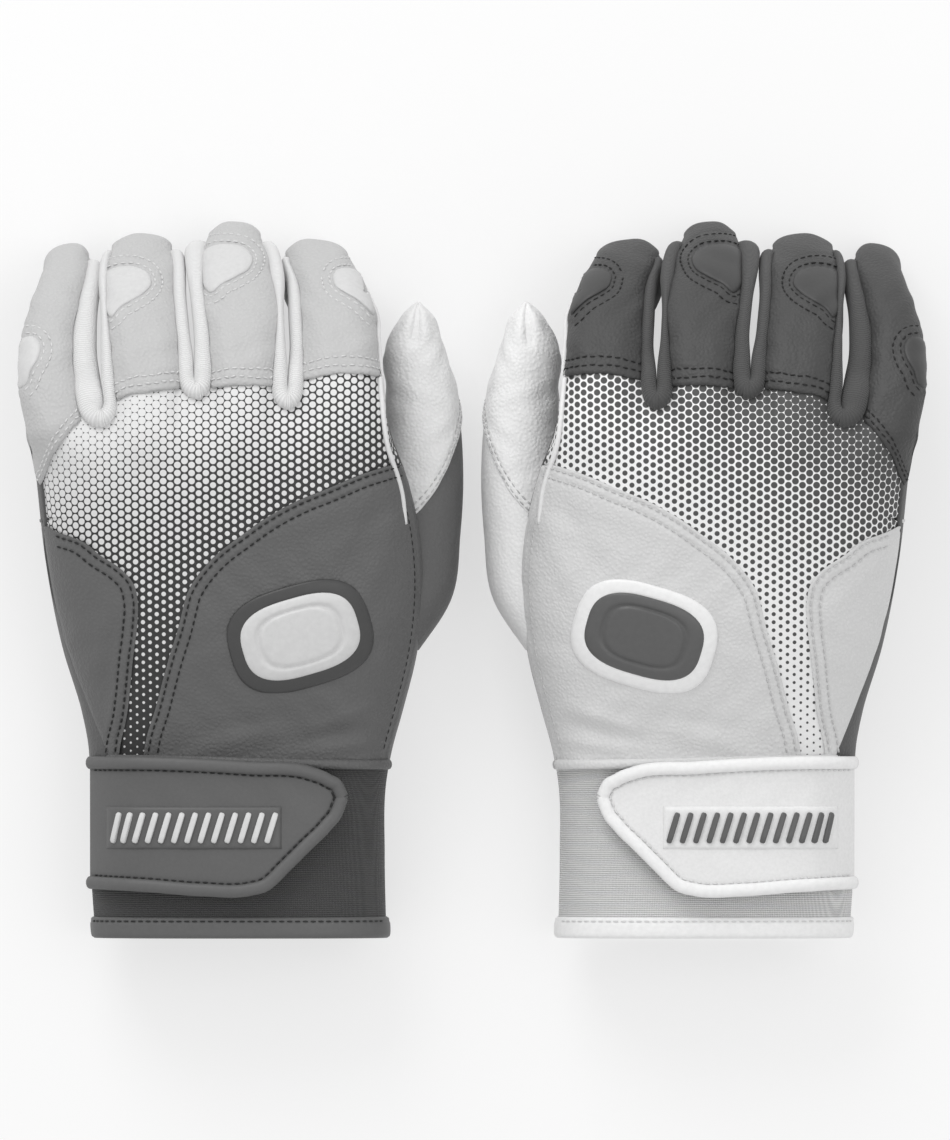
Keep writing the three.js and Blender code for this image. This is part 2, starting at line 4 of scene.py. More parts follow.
import bpy
import numpy as np
from bpy.props import FloatProperty, FloatVectorProperty, PointerProperty
from bpy.types import Operator, Panel, PropertyGroup
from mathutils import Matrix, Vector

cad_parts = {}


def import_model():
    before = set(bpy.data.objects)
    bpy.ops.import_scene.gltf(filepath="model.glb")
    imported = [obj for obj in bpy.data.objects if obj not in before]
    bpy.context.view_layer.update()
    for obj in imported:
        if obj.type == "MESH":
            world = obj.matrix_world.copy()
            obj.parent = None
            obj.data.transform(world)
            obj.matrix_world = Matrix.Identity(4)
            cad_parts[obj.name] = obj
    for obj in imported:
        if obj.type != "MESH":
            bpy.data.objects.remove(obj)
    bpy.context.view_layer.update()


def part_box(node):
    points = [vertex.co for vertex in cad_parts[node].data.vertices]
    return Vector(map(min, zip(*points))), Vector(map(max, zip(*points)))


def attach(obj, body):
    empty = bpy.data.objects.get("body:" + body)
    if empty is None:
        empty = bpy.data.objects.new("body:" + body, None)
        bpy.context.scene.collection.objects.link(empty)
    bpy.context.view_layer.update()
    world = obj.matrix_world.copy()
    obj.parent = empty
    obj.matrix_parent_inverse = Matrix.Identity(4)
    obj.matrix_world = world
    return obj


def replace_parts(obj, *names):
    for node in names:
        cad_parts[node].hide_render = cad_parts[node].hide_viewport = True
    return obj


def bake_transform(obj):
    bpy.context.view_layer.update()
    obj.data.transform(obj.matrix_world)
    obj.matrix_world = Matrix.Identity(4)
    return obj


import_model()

bl_info = {
    "name": "Batting Glove Pair",
    "version": (1, 0, 0),
    "blender": (4, 5, 0),
    "location": "View3D > Sidebar > Gloves",
    "description": "Dresses the packed pair of batting gloves in leather, knit, print and stitching",
    "category": "Object",
}

MM = 0.001
TINY = 1e-9
SIDES = ("left", "right")

# The gloves are laid out in millimetres from each wrist's centre line, x towards the thumb,
# y from the hem to the fingertips, z up from the table. The right glove is the mirror image.
HEM_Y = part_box("left_cuff_binding")[0][1] / MM
WRIST_X = 68.8

# The photograph's scale, and the pixels of the left wrist's centre line and of the hem
PIXEL = 0.29
PHOTO_WRIST, PHOTO_HEM = 235, 940


def tone(value):
    """A grey as the photograph shows it, 0 to 255, as a linear colour."""
    c = value / 255
    c = c / 12.92 if c <= 0.04045 else ((c + 0.055) / 1.055) ** 2.4
    return (c, c, c)


# Each colour's name, and its grey on the left and on the right glove
COLOURS = {
    "fingers": ("Finger leather", 183, 66),
    "panel": ("Side panels", 95, 208),
    "dots": ("Printed dots", 224, 70),
    "ground": ("Print ground", 46, 240),
    "gusset": ("Fourchettes", 226, 76),
    "palm": ("Palm leather", 86, 80),
    "heel": ("Thumb heel leather", 94, 226),
    "thumb": ("Thumb leather", 220, 230),
    "cuff": ("Cuff knit", 74, 224),
    "trim": ("Bindings", 96, 238),
    "strap": ("Strap", 94, 230),
    "frame": ("Moulded pad's frame", 72, 238),
    "mark": ("Raised mouldings", 214, 92),
    "finger_thread": ("Finger thread", 214, 28),
    "panel_thread": ("Panel thread", 28, 196),
    "strap_thread": ("Strap thread", 40, 216),
    "thumb_thread": ("Thumb thread", 190, 186),
    "piping": ("Piping", 222, 230),
}


def greys(column):
    """The colours of one glove as properties."""
    return {
        key: FloatVectorProperty(name=row[0], description=f"Colour of the {row[0].lower()}", subtype="COLOR",
                                 size=3, min=0, max=1, default=tone(row[column]))
        for key, row in COLOURS.items()
    }


class LeftColours(PropertyGroup):
    __annotations__ = greys(1)


class RightColours(PropertyGroup):
    __annotations__ = greys(2)


def length(name, description, millimetres):
    """A length of the gloves as a property."""
    return FloatProperty(name=name, description=description, default=millimetres * MM, min=0,
                         subtype="DISTANCE", unit="LENGTH", precision=5)


class GloveSizes(PropertyGroup):
    stitch_pitch: length("Stitch pitch", "From one stitch to the next", 2.3)
    stitch_length: length("Stitch length", "Visible length of one stitch", 1.75)
    stitch_width: length("Stitch width", "Thickness of the thread", 0.5)
    dot_pitch: length("Dot pitch", "Spacing of the printed dots", 2.38)
    grain: length("Leather grain", "Size of one pebble of the leather", 1.0)
    rib: length("Fourchette rib", "Spacing of the ribs of the stretch knit", 0.68)
    knit: length("Cuff course", "Spacing of the courses of the cuff's knit", 0.62)
    piping_radius: length("Piping radius", "Half the thickness of the piping", 0.75)


# Curves and surfaces


def smooth(low, high, value):
    t = np.clip((value - low) / (high - low), 0, 1)
    return t * t * (3 - 2 * t)


def power(value, exponent):
    return np.sign(value) * np.abs(value) ** exponent


def spline(rows, column=1):
    """A smooth function through rows of (position, value, ...)."""
    t = np.array([row[0] for row in rows], float)
    v = np.array([row[column] for row in rows], float)
    steps = np.diff(t)
    slopes = np.diff(v) / steps
    tangents = np.empty_like(v)
    tangents[1:-1] = (slopes[:-1] * steps[1:] + slopes[1:] * steps[:-1]) / (steps[:-1] + steps[1:])
    tangents[0], tangents[-1] = slopes[0], slopes[-1]

    def evaluate(x):
        x = np.clip(np.asarray(x, float), t[0], t[-1])
        i = np.clip(np.searchsorted(t, x) - 1, 0, len(t) - 2)
        h = steps[i]
        u = (x - t[i]) / h
        return ((1 + 2 * u) * (1 - u) ** 2 * v[i] + u * (1 - u) ** 2 * h * tangents[i]
                + u * u * (3 - 2 * u) * v[i + 1] + u * u * (u - 1) * h * tangents[i + 1])

    return evaluate


def run_length(points):
    """How far along a polyline each of its points lies."""
    return np.r_[0, np.cumsum(np.linalg.norm(np.diff(points, axis=0), axis=1))]


def unit(vectors):
    return vectors / (np.linalg.norm(vectors, axis=-1, keepdims=True) + TINY)


def resample(points, step):
    """A polyline of points, evenly spaced along a smooth curve through the given ones."""
    points = np.asarray(points, float)
    along = run_length(points)
    at = np.linspace(0, along[-1], max(3, int(along[-1] / step) + 1))
    return np.stack([spline(list(zip(along, points[:, k])))(at) for k in range(points.shape[1])], axis=1)


def settled(rows, passes=3):
    """A run of points with its corners eased, by the mean of each point and its neighbours."""
    for _ in range(passes):
        wide = np.concatenate([rows[:1], rows[:1], rows, rows[-1:], rows[-1:]])
        rows = sum(wide[k:k + len(rows)] for k in range(5)) / 5
    return rows


def shifted(points, distance):
    """A flat polyline moved sideways, to the left of its way for a positive distance."""
    points = np.asarray(points, float)
    way = unit(np.gradient(points, axis=0))
    return points + distance * np.stack([-way[:, 1], way[:, 0]], axis=1)


def distance_to(line, x, y):
    """How far points are from a flat polyline."""
    best = np.full(np.shape(x), np.inf)
    for ax, ay in resample(line, 0.8):
        best = np.minimum(best, (x - ax) ** 2 + (y - ay) ** 2)
    return np.sqrt(best)


def from_photo(pixels):
    """Points of the left glove, in photograph pixels, as x and y in millimetres."""
    return [((px - PHOTO_WRIST) * PIXEL, (PHOTO_HEM - py) * PIXEL) for px, py in pixels]


# y, little-finger edge, thumb edge, back, side seam, palm
HAND_SECTIONS = [
    (0, -41, 44, 41, 20, -1.2), (24, -42.5, 43.5, 42.2, 20, -1.2), (46, -42.5, 44, 43.3, 21, -1.2),
    (55, -42.6, 45.6, 44.6, 21.5, -0.6), (66, -44.6, 48.6, 48.8, 22.5, 3), (84, -50, 53, 56, 25, 9),
    (110, -55, 54.5, 63, 33, 24), (134, -57.5, 50, 68, 46, 38), (148, -59, 45, 69, 53, 46),
    (156, -59.5, 43.6, 66.8, 53, 46.5), (164, -60, 42.8, 63, 50, 44), (174, -60, 42.5, 56.5, 45, 40),
]
HAND_ROUND = 2.5
KNUCKLES_START, KNUCKLES_END = 134.0, 158.0  # y between which the hand's back turns into the fingers
little_edge, thumb_edge, back_height, seam_height, palm_height = (
    spline(HAND_SECTIONS, column) for column in range(1, 6)
)
CUFF_TOP = 52.0
PALM_FRONT = 151.0

# Seams of the back of the hand, from the wrist up and from the little finger to the thumb
THUMB_SEAM = from_photo([
    (142, 762), (147, 735), (155, 710), (163, 680), (170, 655), (178, 630), (183, 610), (187, 595),
    (195, 580), (205, 567), (220, 552), (240, 537), (270, 516), (300, 500), (330, 488), (360, 475),
    (397, 463), (412, 458),
])
OUTER_SEAM = from_photo([
    (118, 762), (120, 745), (126, 720), (130, 690), (133, 660), (137, 630), (138, 600), (133, 582),
    (120, 568), (100, 555), (80, 540), (60, 533), (40, 523), (28, 517),
])
KNUCKLE_SEAM = from_photo([
    (30, 512), (40, 490), (52, 460), (65, 440), (82, 422), (100, 420), (117, 402), (150, 393),
    (180, 390), (197, 392), (213, 389), (245, 386), (272, 387), (288, 388), (303, 382), (345, 374),
    (380, 378), (410, 388),
])
knuckle_y = spline(KNUCKLE_SEAM)
thumb_seam_x = spline([(y, x) for x, y in THUMB_SEAM])
outer_seam_x = spline([(y, x) for x, y in OUTER_SEAM])

# Gaps between the fingers: the slit's line from its bottom up, and the y of the roll's lower edge
GAPS = {
    ("index", "middle"): (from_photo([
        (288, 397), (288, 382), (288, 350), (286, 310), (285, 275), (279, 252), (272, 235)]), 153.4),
    ("middle", "ring"): (from_photo([
        (197, 390), (195, 382), (194, 357), (191, 322), (187, 285), (184, 255), (181, 225)]), 156.6),
    ("ring", "little"): (from_photo([
        (102, 412), (104, 407), (102, 385), (99, 350), (99, 317), (102, 260), (104, 225)]), 148.5),
}


def turn_of(share, roundness):
    """The turn at a share of the half width, -1 to 1, of the upper half of a rounded section."""
    return np.arccos(power(np.clip(share, -1, 1), roundness / 2)) / (2 * np.pi)


def hand_point(y, turn, offset=0.0):
    """A point of the hand's surface. Turn 0 is the thumb side and a quarter the back."""
    y, turn = np.broadcast_arrays(np.asarray(y, float), np.asarray(turn, float))
    angle = turn * 2 * np.pi
    middle, width = (thumb_edge(y) + little_edge(y)) / 2, (thumb_edge(y) - little_edge(y)) / 2
    seam = seam_height(y)
    height = np.where(np.sin(angle) > 0, back_height(y) - seam, seam - palm_height(y)) + offset
    x = middle + (width + offset) * power(np.cos(angle), 2 / HAND_ROUND)
    z = seam + height * power(np.sin(angle), 2 / HAND_ROUND)
    return np.stack([x, y, np.maximum(z, np.maximum(-np.asarray(offset), 0))], axis=-1)


def back_turn(x, y, offset=0.0):
    """The turn of the hand's section at an x of its back."""
    middle = (thumb_edge(y) + little_edge(y)) / 2
    return turn_of((x - middle) / (thumb_edge(y) - middle + offset), HAND_ROUND)


def dome_point(x, y, offset=0.0):
    """A point of the smooth dome of the back of the hand."""
    x, y = np.broadcast_arrays(np.asarray(x, float), np.asarray(y, float))
    return hand_point(y, back_turn(x, y, offset), offset)


# Extent and step of the grid of heights over the knuckles
GRID_X, GRID_Y, GRID_STEP = (-72, 58), (130, 178), 0.6


@functools.cache
def knuckle_grid():
    """Heights of the fingers' backs near the knuckles, with the valleys between them eased."""
    x, y = np.meshgrid(np.arange(*GRID_X, GRID_STEP), np.arange(*GRID_Y, GRID_STEP))
    return settled(np.max([finger.from_top(x, y)[..., 2] for finger in FINGERS.values()], axis=0).T).T


def knuckle_top(x, y):
    """The height of the grid at points between its own."""
    grid = knuckle_grid()
    across = np.clip((x - GRID_X[0]) / GRID_STEP, 0, grid.shape[1] - 1.01)
    along = np.clip((y - GRID_Y[0]) / GRID_STEP, 0, grid.shape[0] - 1.01)
    i, j = along.astype(int), across.astype(int)
    near = grid[i, j] + (grid[i, j + 1] - grid[i, j]) * (across - j)
    far = grid[i + 1, j] + (grid[i + 1, j + 1] - grid[i + 1, j]) * (across - j)
    return near + (far - near) * (along - i)


DEEPEST_VALLEY = 4  # how far the back may fall below its dome between two knuckles


def back_point(x, y, offset=0.0):
    """A point of the back of the hand, which turns from the dome into the backs of the fingers."""
    point = dome_point(x, y, offset)
    far = point[..., 1] > KNUCKLES_START
    if far.any():
        x, y, offset = (np.broadcast_to(v, point.shape[:-1])[far] for v in (x, y, offset))
        tops = knuckle_top(x, y) + offset
        dome = point[..., 2][far]
        share = smooth(KNUCKLES_START, KNUCKLES_END, y)
        point[..., 2][far] = dome + share * (np.maximum(tops, dome - DEEPEST_VALLEY) - dome)
    return point


def on_back(flat, offset=0.0):
    """Points of the back of the hand over rows of x and y."""
    return back_point(flat[:, 0], flat[:, 1], offset)


class Finger:
    """A curled finger: an arc from the knuckles to the table, with the widths that the photograph shows."""

    START, KNUCKLE = math.radians(12), math.radians(46)  # slopes at the root and at the middle knuckle
    ROOT, ROUND = 146.0, 2.4
    APRON = 140, 152  # y between which the leather leaves the hand's back

    def __init__(self, name, middle, reach, depth, edges, leather):
        self.name, self.depth, self.leather = name, depth, leather
        rise = float(dome_point(middle, self.ROOT)[2]) - depth / 2
        self.radius = (reach - depth / 2 - self.ROOT) / (1 - math.sin(self.START))
        self.end = math.acos(math.cos(self.START) - (rise - depth / 2 + 0.6) / self.radius)
        self.tip = depth / 2 / self.radius
        self.rise = rise
        right, left = np.abs(np.cos(np.array(leather) * 2 * np.pi)) ** (2 / self.ROUND)
        edges = [(y, (a * right + b * left) / (left + right), (b - a) / (left + right))
                 for y, a, b in edges]
        self.middle_x, self.half_width = spline(edges, 1), spline(edges, 2)

    def top_y(self, slope):
        slope = np.minimum(slope, self.end)
        rise = self.radius * (np.sin(slope) - math.sin(self.START))
        return self.ROOT + rise + self.depth / 2 * np.sin(slope)

    def centre(self, slope):
        y = self.ROOT + self.radius * (np.sin(slope) - math.sin(self.START))
        z = self.rise + self.radius * (np.cos(slope) - math.cos(self.START))
        return self.middle_x(self.top_y(slope)), y, z

    def point(self, slope, turn, offset=0.0):
        slope, turn, offset = np.broadcast_arrays(*(np.asarray(v, float) for v in (slope, turn, offset)))
        past = np.clip((slope - self.end) / self.tip, 0, 1)
        round_off = np.sqrt(1 - past * past)
        angle = turn * 2 * np.pi
        slant = slope + past * offset / self.radius
        x, y, z = self.centre(slant)
        half = self.half_width(self.top_y(slope)) + offset
        across = half * round_off * power(np.cos(angle), 2 / self.ROUND)
        up = (self.depth / 2 + offset) * round_off * power(np.sin(angle), 2 / self.ROUND)
        z = np.maximum(z + up * np.cos(slant), np.maximum(-offset, 0))
        return np.stack([x + across, y + up * np.sin(slant), z], axis=-1)

    def locate(self, x, y, offset=0.0):
        """The slope and turn of the point of the finger's back that is seen at x and y from above."""
        x, y = np.broadcast_arrays(np.asarray(x, float), np.asarray(y, float))
        low, high = np.full(x.shape, self.START * 0.5), np.full(x.shape, self.end + 0.12)
        for _ in range(36):
            slope = (low + high) / 2
            level = self.top_y(slope)
            turn = turn_of((x - self.middle_x(level)) / self.half_width(level), self.ROUND)
            short = self.point(slope, turn, offset)[..., 1] < y
            low, high = np.where(short, slope, low), np.where(short, high, slope)
        return slope, turn

    def from_top(self, x, y, offset=0.0):
        return self.point(*self.locate(x, y, offset), offset)

    def seam_slope(self, turn, beyond=0.0):
        """The slope at which the finger's back passes the knuckle seam, or a distance beyond it."""
        slopes = np.linspace(-0.12, self.KNUCKLE, 200)
        at = self.point(slopes[:, None], np.asarray(turn)[None, :])
        passed = at[..., 1] >= knuckle_y(at[..., 0]) + beyond
        return slopes[np.where(passed.any(axis=0), passed.argmax(axis=0), len(slopes) - 1)]

    def apron(self, slope, turn, offset=0.0):
        """A point of the finger's leather, which lies on the hand's back below the knuckle."""
        at = self.point(slope, turn, offset)
        flat = back_point(at[..., 0], at[..., 1], offset)
        at[..., 2] += (1 - smooth(*self.APRON, at[..., 1])) * (flat[..., 2] - at[..., 2])
        return at

    def hinge(self):
        x, y, z = self.centre(self.KNUCKLE)
        return np.array([float(x), float(y), float(z)])


# Each finger: x of its root, reach, depth, its leather's two edges seen from above as y, x and x,
# and the turns that the leather covers
FINGERS = {f.name: f for f in (
    Finger("index", 29, 204.5, 21, [
        (150, 19.5, 43.5), (162.4, 19.7, 42), (171, 20, 41.5), (180, 19.7, 40.8), (188.5, 19.1, 40.3),
        (193, 18.4, 38.6), (198.7, 16, 36), (203, 14.5, 33)], (0.02, 0.4)),
    Finger("middle", 2.4, 210.5, 21, [
        (150, -6.4, 10.7), (160.4, -6.4, 10.7), (168, -6.6, 11), (182.7, -7.8, 12), (190, -8.8, 11.4),
        (194, -9, 10.4), (201.5, -8.8, 9), (207, -8, 7)], (0.1, 0.4)),
    Finger("ring", -24.5, 206, 20, [
        (146, -33.5, -15.8), (158, -34.2, -16), (171, -35.4, -16.5), (188.5, -37, -18), (200, -36.6, -18.6),
        (203, -35.9, -19)], (0.1, 0.4)),
    Finger("little", -48.5, 203, 18, [
        (126, -55.6, -41), (133, -57, -41.2), (140, -58.3, -41.8), (146, -59.4, -43), (152, -60.3, -44.2),
        (158, -61.4, -45.6), (171, -62, -47.4), (178, -61.6, -47.2), (185.6, -60.2, -46), (193, -58, -44.4),
        (199.5, -55.5, -43)], (0.1, 0.5)),
)}

# y, x, z, half width, half depth
THUMB_SECTIONS = [
    (82, 38, 28, 14, 12), (98, 46, 25.5, 16.5, 15), (118, 51, 24, 14.5, 15), (136, 54, 22.5, 12.3, 14),
    (158, 54.2, 20.5, 10, 11.5), (172, 52.2, 19.8, 8, 9), (180, 52.7, 19.3, 4.8, 6.5), (185, 53, 19, 1.6, 4),
]
thumb_x, thumb_z, thumb_width, thumb_depth = (spline(THUMB_SECTIONS, k) for k in range(1, 5))
THUMB_JOINT, THUMB_TIP = 140.0, 185.4
THUMB_CLOSE = 5  # length over which the tip rounds to a point
THUMB_ROUND = 0.9


def thumb_point(y, turn, offset=0.0):
    y, turn, offset = np.broadcast_arrays(*(np.asarray(v, float) for v in (y, turn, offset)))
    angle = turn * 2 * np.pi
    past = np.clip((y - THUMB_TIP + THUMB_CLOSE) / THUMB_CLOSE, 0, 1)
    close = np.sqrt(np.maximum(1 - past ** 2, 0))
    across = np.maximum(thumb_width(y) + offset, 0.4) * close * power(np.cos(angle), THUMB_ROUND)
    up = np.maximum(thumb_depth(y) + offset, 0.6) * close * power(np.sin(angle), THUMB_ROUND)
    return np.stack([thumb_x(y) + across, y, thumb_z(y) + up], axis=-1)


def thumb_start(turn):
    """Where the thumb's pale leather starts: a slanting seam, lower on the side of the hand."""
    return 131 + 21 * np.cos(turn * 2 * np.pi) - 8 * np.sin(turn * 2 * np.pi)


# Meshes


def world(points, side):
    """Points of one glove, in millimetres, in the shared frame, in metres."""
    points = np.asarray(points, float)
    x = points[..., 0] - WRIST_X if side == "left" else WRIST_X - points[..., 0]
    return np.stack([x, points[..., 1] + HEM_Y, points[..., 2]], axis=-1) * MM


def add_object(name, data):
    obj = bpy.data.objects.new(name, data)
    bpy.context.collection.objects.link(obj)
    return obj


def make_mesh(name, side, slot, points, faces, uv):
    """One smooth mesh object of a glove's piece, with faces outward on both gloves."""
    name = f"{side}_{name}"
    mesh = bpy.data.meshes.new(name)
    if side == "right":
        faces = [face[::-1] for face in faces]
    mesh.from_pydata(world(points, side).tolist(), [], faces)
    mesh.polygons.foreach_set("use_smooth", [True] * len(mesh.polygons))
    layer = mesh.uv_layers.new(name="Surface")
    corner = np.zeros(len(mesh.loops), int)
    mesh.loops.foreach_get("vertex_index", corner)
    layer.data.foreach_set("uv", (np.asarray(uv, float)[corner] * MM).ravel())
    mesh.materials.append(finish(side, slot))
    return add_object(name, mesh)


def shares(count):
    return np.linspace(0, 1, count)


def closing(count):
    """Rising shares, without the first, that crowd together towards 1."""
    return np.sin(shares(count)[1:] * np.pi / 2)


def grid_faces(rows, columns, wrap=False, start=0):
    across = columns if wrap else columns - 1
    return [(start + i * columns + j, start + i * columns + (j + 1) % columns,
             start + (i + 1) * columns + (j + 1) % columns, start + (i + 1) * columns + j)
            for i in range(rows - 1) for j in range(across)]


def surface_uv(points):
    """Distances along the rows and columns of a grid of points, from its middle."""
    rows, columns = points.shape[:2]
    across = np.zeros((rows, columns))
    across[:, 1:] = np.cumsum(np.linalg.norm(np.diff(points, axis=1), axis=-1), axis=1)
    along = np.zeros((rows, columns))
    along[1:] = np.cumsum(np.linalg.norm(np.diff(points, axis=0), axis=-1), axis=0)
    return np.stack([across - across[:, columns // 2:columns // 2 + 1], along], axis=-1)


def skin(name, side, slot, surface, rows, columns, thickness, wrap=False, uv=None, flip=False, caps=()):
    """A closed sheet from surface(row, column, offset) on two arrays of shares. The first or last ring of a
    wrapped one may be filled, which caps names as 0 or -1."""
    u, v = np.meshgrid(rows, columns, indexing="ij")
    outer, inner = surface(u, v, 0.0), surface(u, v, -thickness)
    n, m = u.shape
    count = n * m
    faces = grid_faces(n, m, wrap)
    faces += [face[::-1] for face in grid_faces(n, m, wrap, count)]
    points = np.concatenate([outer.reshape(-1, 3), inner.reshape(-1, 3)])
    across = m if wrap else m - 1
    for end, ring in ((0, 0), (-1, (n - 1) * m)):
        rim = [(ring + j, ring + (j + 1) % m) for j in range(across)]
        if end == 0:
            rim = [pair[::-1] for pair in rim]
        if end in caps:
            middle = len(points)
            points = np.concatenate([points, [outer[end].mean(axis=0), inner[end].mean(axis=0)]])
            faces += [(a, b, middle) for a, b in rim]
            faces += [(count + b, count + a, middle + 1) for a, b in rim]
        else:
            faces += [(a, b, count + b, count + a) for a, b in rim]
    if not wrap:
        for i in range(n - 1):
            a, b = i * m, (i + 1) * m
            faces.append((a, b, count + b, count + a))
            faces.append((b + m - 1, a + m - 1, count + a + m - 1, count + b + m - 1))
    if flip:
        faces = [face[::-1] for face in faces]
    if uv is None:
        uv = surface_uv(outer)
    uv = np.concatenate([uv.reshape(-1, 2)] * 2 + [np.zeros((len(points) - 2 * count, 2))])
    return make_mesh(name, side, slot, points, faces, uv)


def roll(name, side, slot, path, normals, half_width, height, steps=12):
    """A rounded strip swept along a path and standing up along the normals, such as piping."""
    path, normals = np.asarray(path, float), np.asarray(normals, float)
    way = unit(np.gradient(path, axis=0))
    normals = unit(normals - way * np.sum(normals * way, axis=1, keepdims=True))
    sideways = np.cross(way, normals)
    turn = np.linspace(0, 2 * np.pi, steps, endpoint=False)
    half_width = np.broadcast_to(half_width, len(path))[:, None, None]
    height = np.broadcast_to(height, len(path))[:, None, None]
    rings = (path[:, None] + sideways[:, None] * np.cos(turn)[None, :, None] * half_width
             + normals[:, None] * np.sin(turn)[None, :, None] * height)
    n = len(path)
    last = (n - 1) * steps
    points = np.concatenate([rings.reshape(-1, 3), path[:1], path[-1:]])
    faces = grid_faces(n, steps, True)
    for j in range(steps):
        k = (j + 1) % steps
        faces.append((k, j, n * steps))
        faces.append((last + j, last + k, n * steps + 1))
    uv = np.stack(np.broadcast_arrays(np.arange(steps)[None, :], run_length(path)[:, None]), axis=-1)
    uv = np.concatenate([uv.reshape(-1, 2), np.zeros((2, 2))])
    return make_mesh(name, side, slot, points, [face[::-1] for face in faces], uv)


# Materials


def add_node(tree, kind, settings=None, sockets=None, out=0):
    """Adds a node with its settings and its sockets' values or links, and returns one of its outputs."""
    node = tree.nodes.new(kind)
    for key, value in (settings or {}).items():
        setattr(node, key, value)
    for key, value in (sockets or {}).items():
        if isinstance(value, bpy.types.NodeSocket):
            tree.links.new(value, node.inputs[key])
        else:
            node.inputs[key].default_value = value
    return None if out is None else node.outputs[out]


class Socket:
    """A shader socket that takes part in sums. node() makes any other node of the same material."""

    def __init__(self, tree, source=None):
        self.tree, self.source = tree, source

    def node(self, kind, settings=None, sockets=None, out=0):
        sockets = {key: value.source if isinstance(value, Socket) else value
                   for key, value in (sockets or {}).items()}
        return Socket(self.tree, add_node(self.tree, kind, settings, sockets, out))

    def maths(self, operation, *values):
        return self.node("ShaderNodeMath", {"operation": operation}, dict(enumerate(values)))

    def __add__(self, other):
        return self.maths("ADD", self, other)

    def __sub__(self, other):
        return self.maths("SUBTRACT", self, other)

    def __rsub__(self, other):
        return self.maths("SUBTRACT", other, self)

    def __mul__(self, other):
        return self.maths("MULTIPLY", self, other)

    def __truediv__(self, other):
        return self.maths("DIVIDE", self, other)

    def __rtruediv__(self, other):
        return self.maths("DIVIDE", other, self)

    def __pow__(self, other):
        return self.maths("POWER", self, other)

    __radd__, __rmul__ = __add__, __mul__

    def clamp(self):
        return self.maths("MINIMUM", self.maths("MAXIMUM", self, 0.0), 1.0)

    def step(self, low, high):
        """0 below low and 1 above high, smoothly."""
        return self.node("ShaderNodeMapRange", {"interpolation_type": "SMOOTHSTEP"},
                         {"Value": self, "From Min": low, "From Max": high})

    def place(self):
        return self.node("ShaderNodeTexCoord", out="Object")

    def split(self, vector):
        node = self.node("ShaderNodeSeparateXYZ", None, {0: vector}).source.node
        return [Socket(self.tree, output) for output in node.outputs]

    def noise(self, scale, detail=2.0, vector=None):
        return self.node("ShaderNodeTexNoise", None,
                         {"Vector": vector or self.place(), "Scale": scale, "Detail": detail}, "Fac")

    def mix(self, factor, first, second):
        colours = [(*c, 1) if isinstance(c, tuple) else c for c in (first, second)]
        return self.node("ShaderNodeMix", {"data_type": "RGBA"},
                         {0: factor, 6: colours[0], 7: colours[1]}, 2)


def shade(colour, share):
    return tuple(c * share for c in colour)


def empty_material(name):
    """A material without nodes, and the socket that makes its nodes."""
    material = bpy.data.materials.new(name)
    material.use_nodes = True
    material.node_tree.nodes.clear()
    return material, Socket(material.node_tree)


def make_material(name, colour, build, roughness, sheen):
    """A material whose build(socket, colour) gives a colour and a height in metres."""
    material, start = empty_material(name)
    tint, height = build(start, tuple(colour))
    bump = start.node("ShaderNodeBump", None, {"Strength": 1.0, "Distance": 1.0, "Height": height})
    shader = start.node("ShaderNodeBsdfPrincipled", None, {
        "Base Color": tint, "Roughness": roughness, "Sheen Weight": sheen, "Specular IOR Level": 0.4,
        "Normal": bump})
    start.node("ShaderNodeOutputMaterial", None, {"Surface": shader}, None)
    material.diffuse_color = (*tuple(colour), 1)
    return material


def leather(grain, depth=0.00010, crease=0.0006):
    """Pebbled leather: small rounded cells and soft creases, in a tone that differs at random, with painted
    shade in the hollows between the cells and painted highlight on their tops.
    """

    def build(s, colour):
        wander = s.noise(260.0, 1.0)
        drift = s.node("ShaderNodeCombineXYZ", None, {0: wander * 0.0006, 1: wander * 0.0004})
        place = s.node("ShaderNodeVectorMath", {"operation": "ADD"}, {0: s.place(), 1: drift})
        cells = s.node("ShaderNodeTexVoronoi", {"feature": "SMOOTH_F1"},
                       {"Vector": place, "Scale": 1 / grain, "Smoothness": 0.35}, "Distance")
        pebble = 1.0 - cells.step(0.15, 0.75)
        folds = s.noise(75.0, 3.0)
        height = pebble * depth + folds * crease
        # painted shade and highlight: each pebble's top is painted lighter and the hollow round it darker,
        # over random noise of tone
        tint = (pebble * 0.13 + s.noise(45.0) * 0.16 + 0.71).clamp()
        return s.mix(tint, shade(colour, 0.72), shade(colour, 1.1)), height

    return build


# The radius of a printed dot in millimetres: at a level on the centre line, and its change across and along
DOT_RADIUS, DOT_LEVEL, DOT_ACROSS, DOT_ALONG = 0.8, 127.6, 0.0048, 0.0088
DOT_BLUR = 0.07


def halftone(ground, pitch):
    """Round dots in staggered upright columns, which swell until they meet at the knuckles' outer end."""

    def build(s, colour):
        u, v, _ = s.split(s.node("ShaderNodeUVMap", {"uv_map": "Surface"}))
        u, v = u / MM, v / MM
        step, apart = pitch / MM, pitch / MM * math.sqrt(3)
        near = None
        for shift in (0.0, 0.5):
            du = (s.maths("FRACT", u / apart + shift) - 0.5) * apart
            dv = (s.maths("FRACT", v / step + shift) - 0.5) * step
            away = (du * du + dv * dv) ** 0.5
            near = away if near is None else s.maths("MINIMUM", near, away)
        size = DOT_RADIUS - u * DOT_ACROSS + (v - DOT_LEVEL) * DOT_ALONG
        dot = (near - size).step(DOT_BLUR, -DOT_BLUR)
        weave = s.noise(900.0)
        tint = s.mix(weave * 0.08, s.mix(dot, tuple(ground), colour), (0.25, 0.25, 0.25))
        return tint, weave * 0.00012 + s.noise(80.0, 3.0) * 0.0005 + dot * 0.00004

    return build


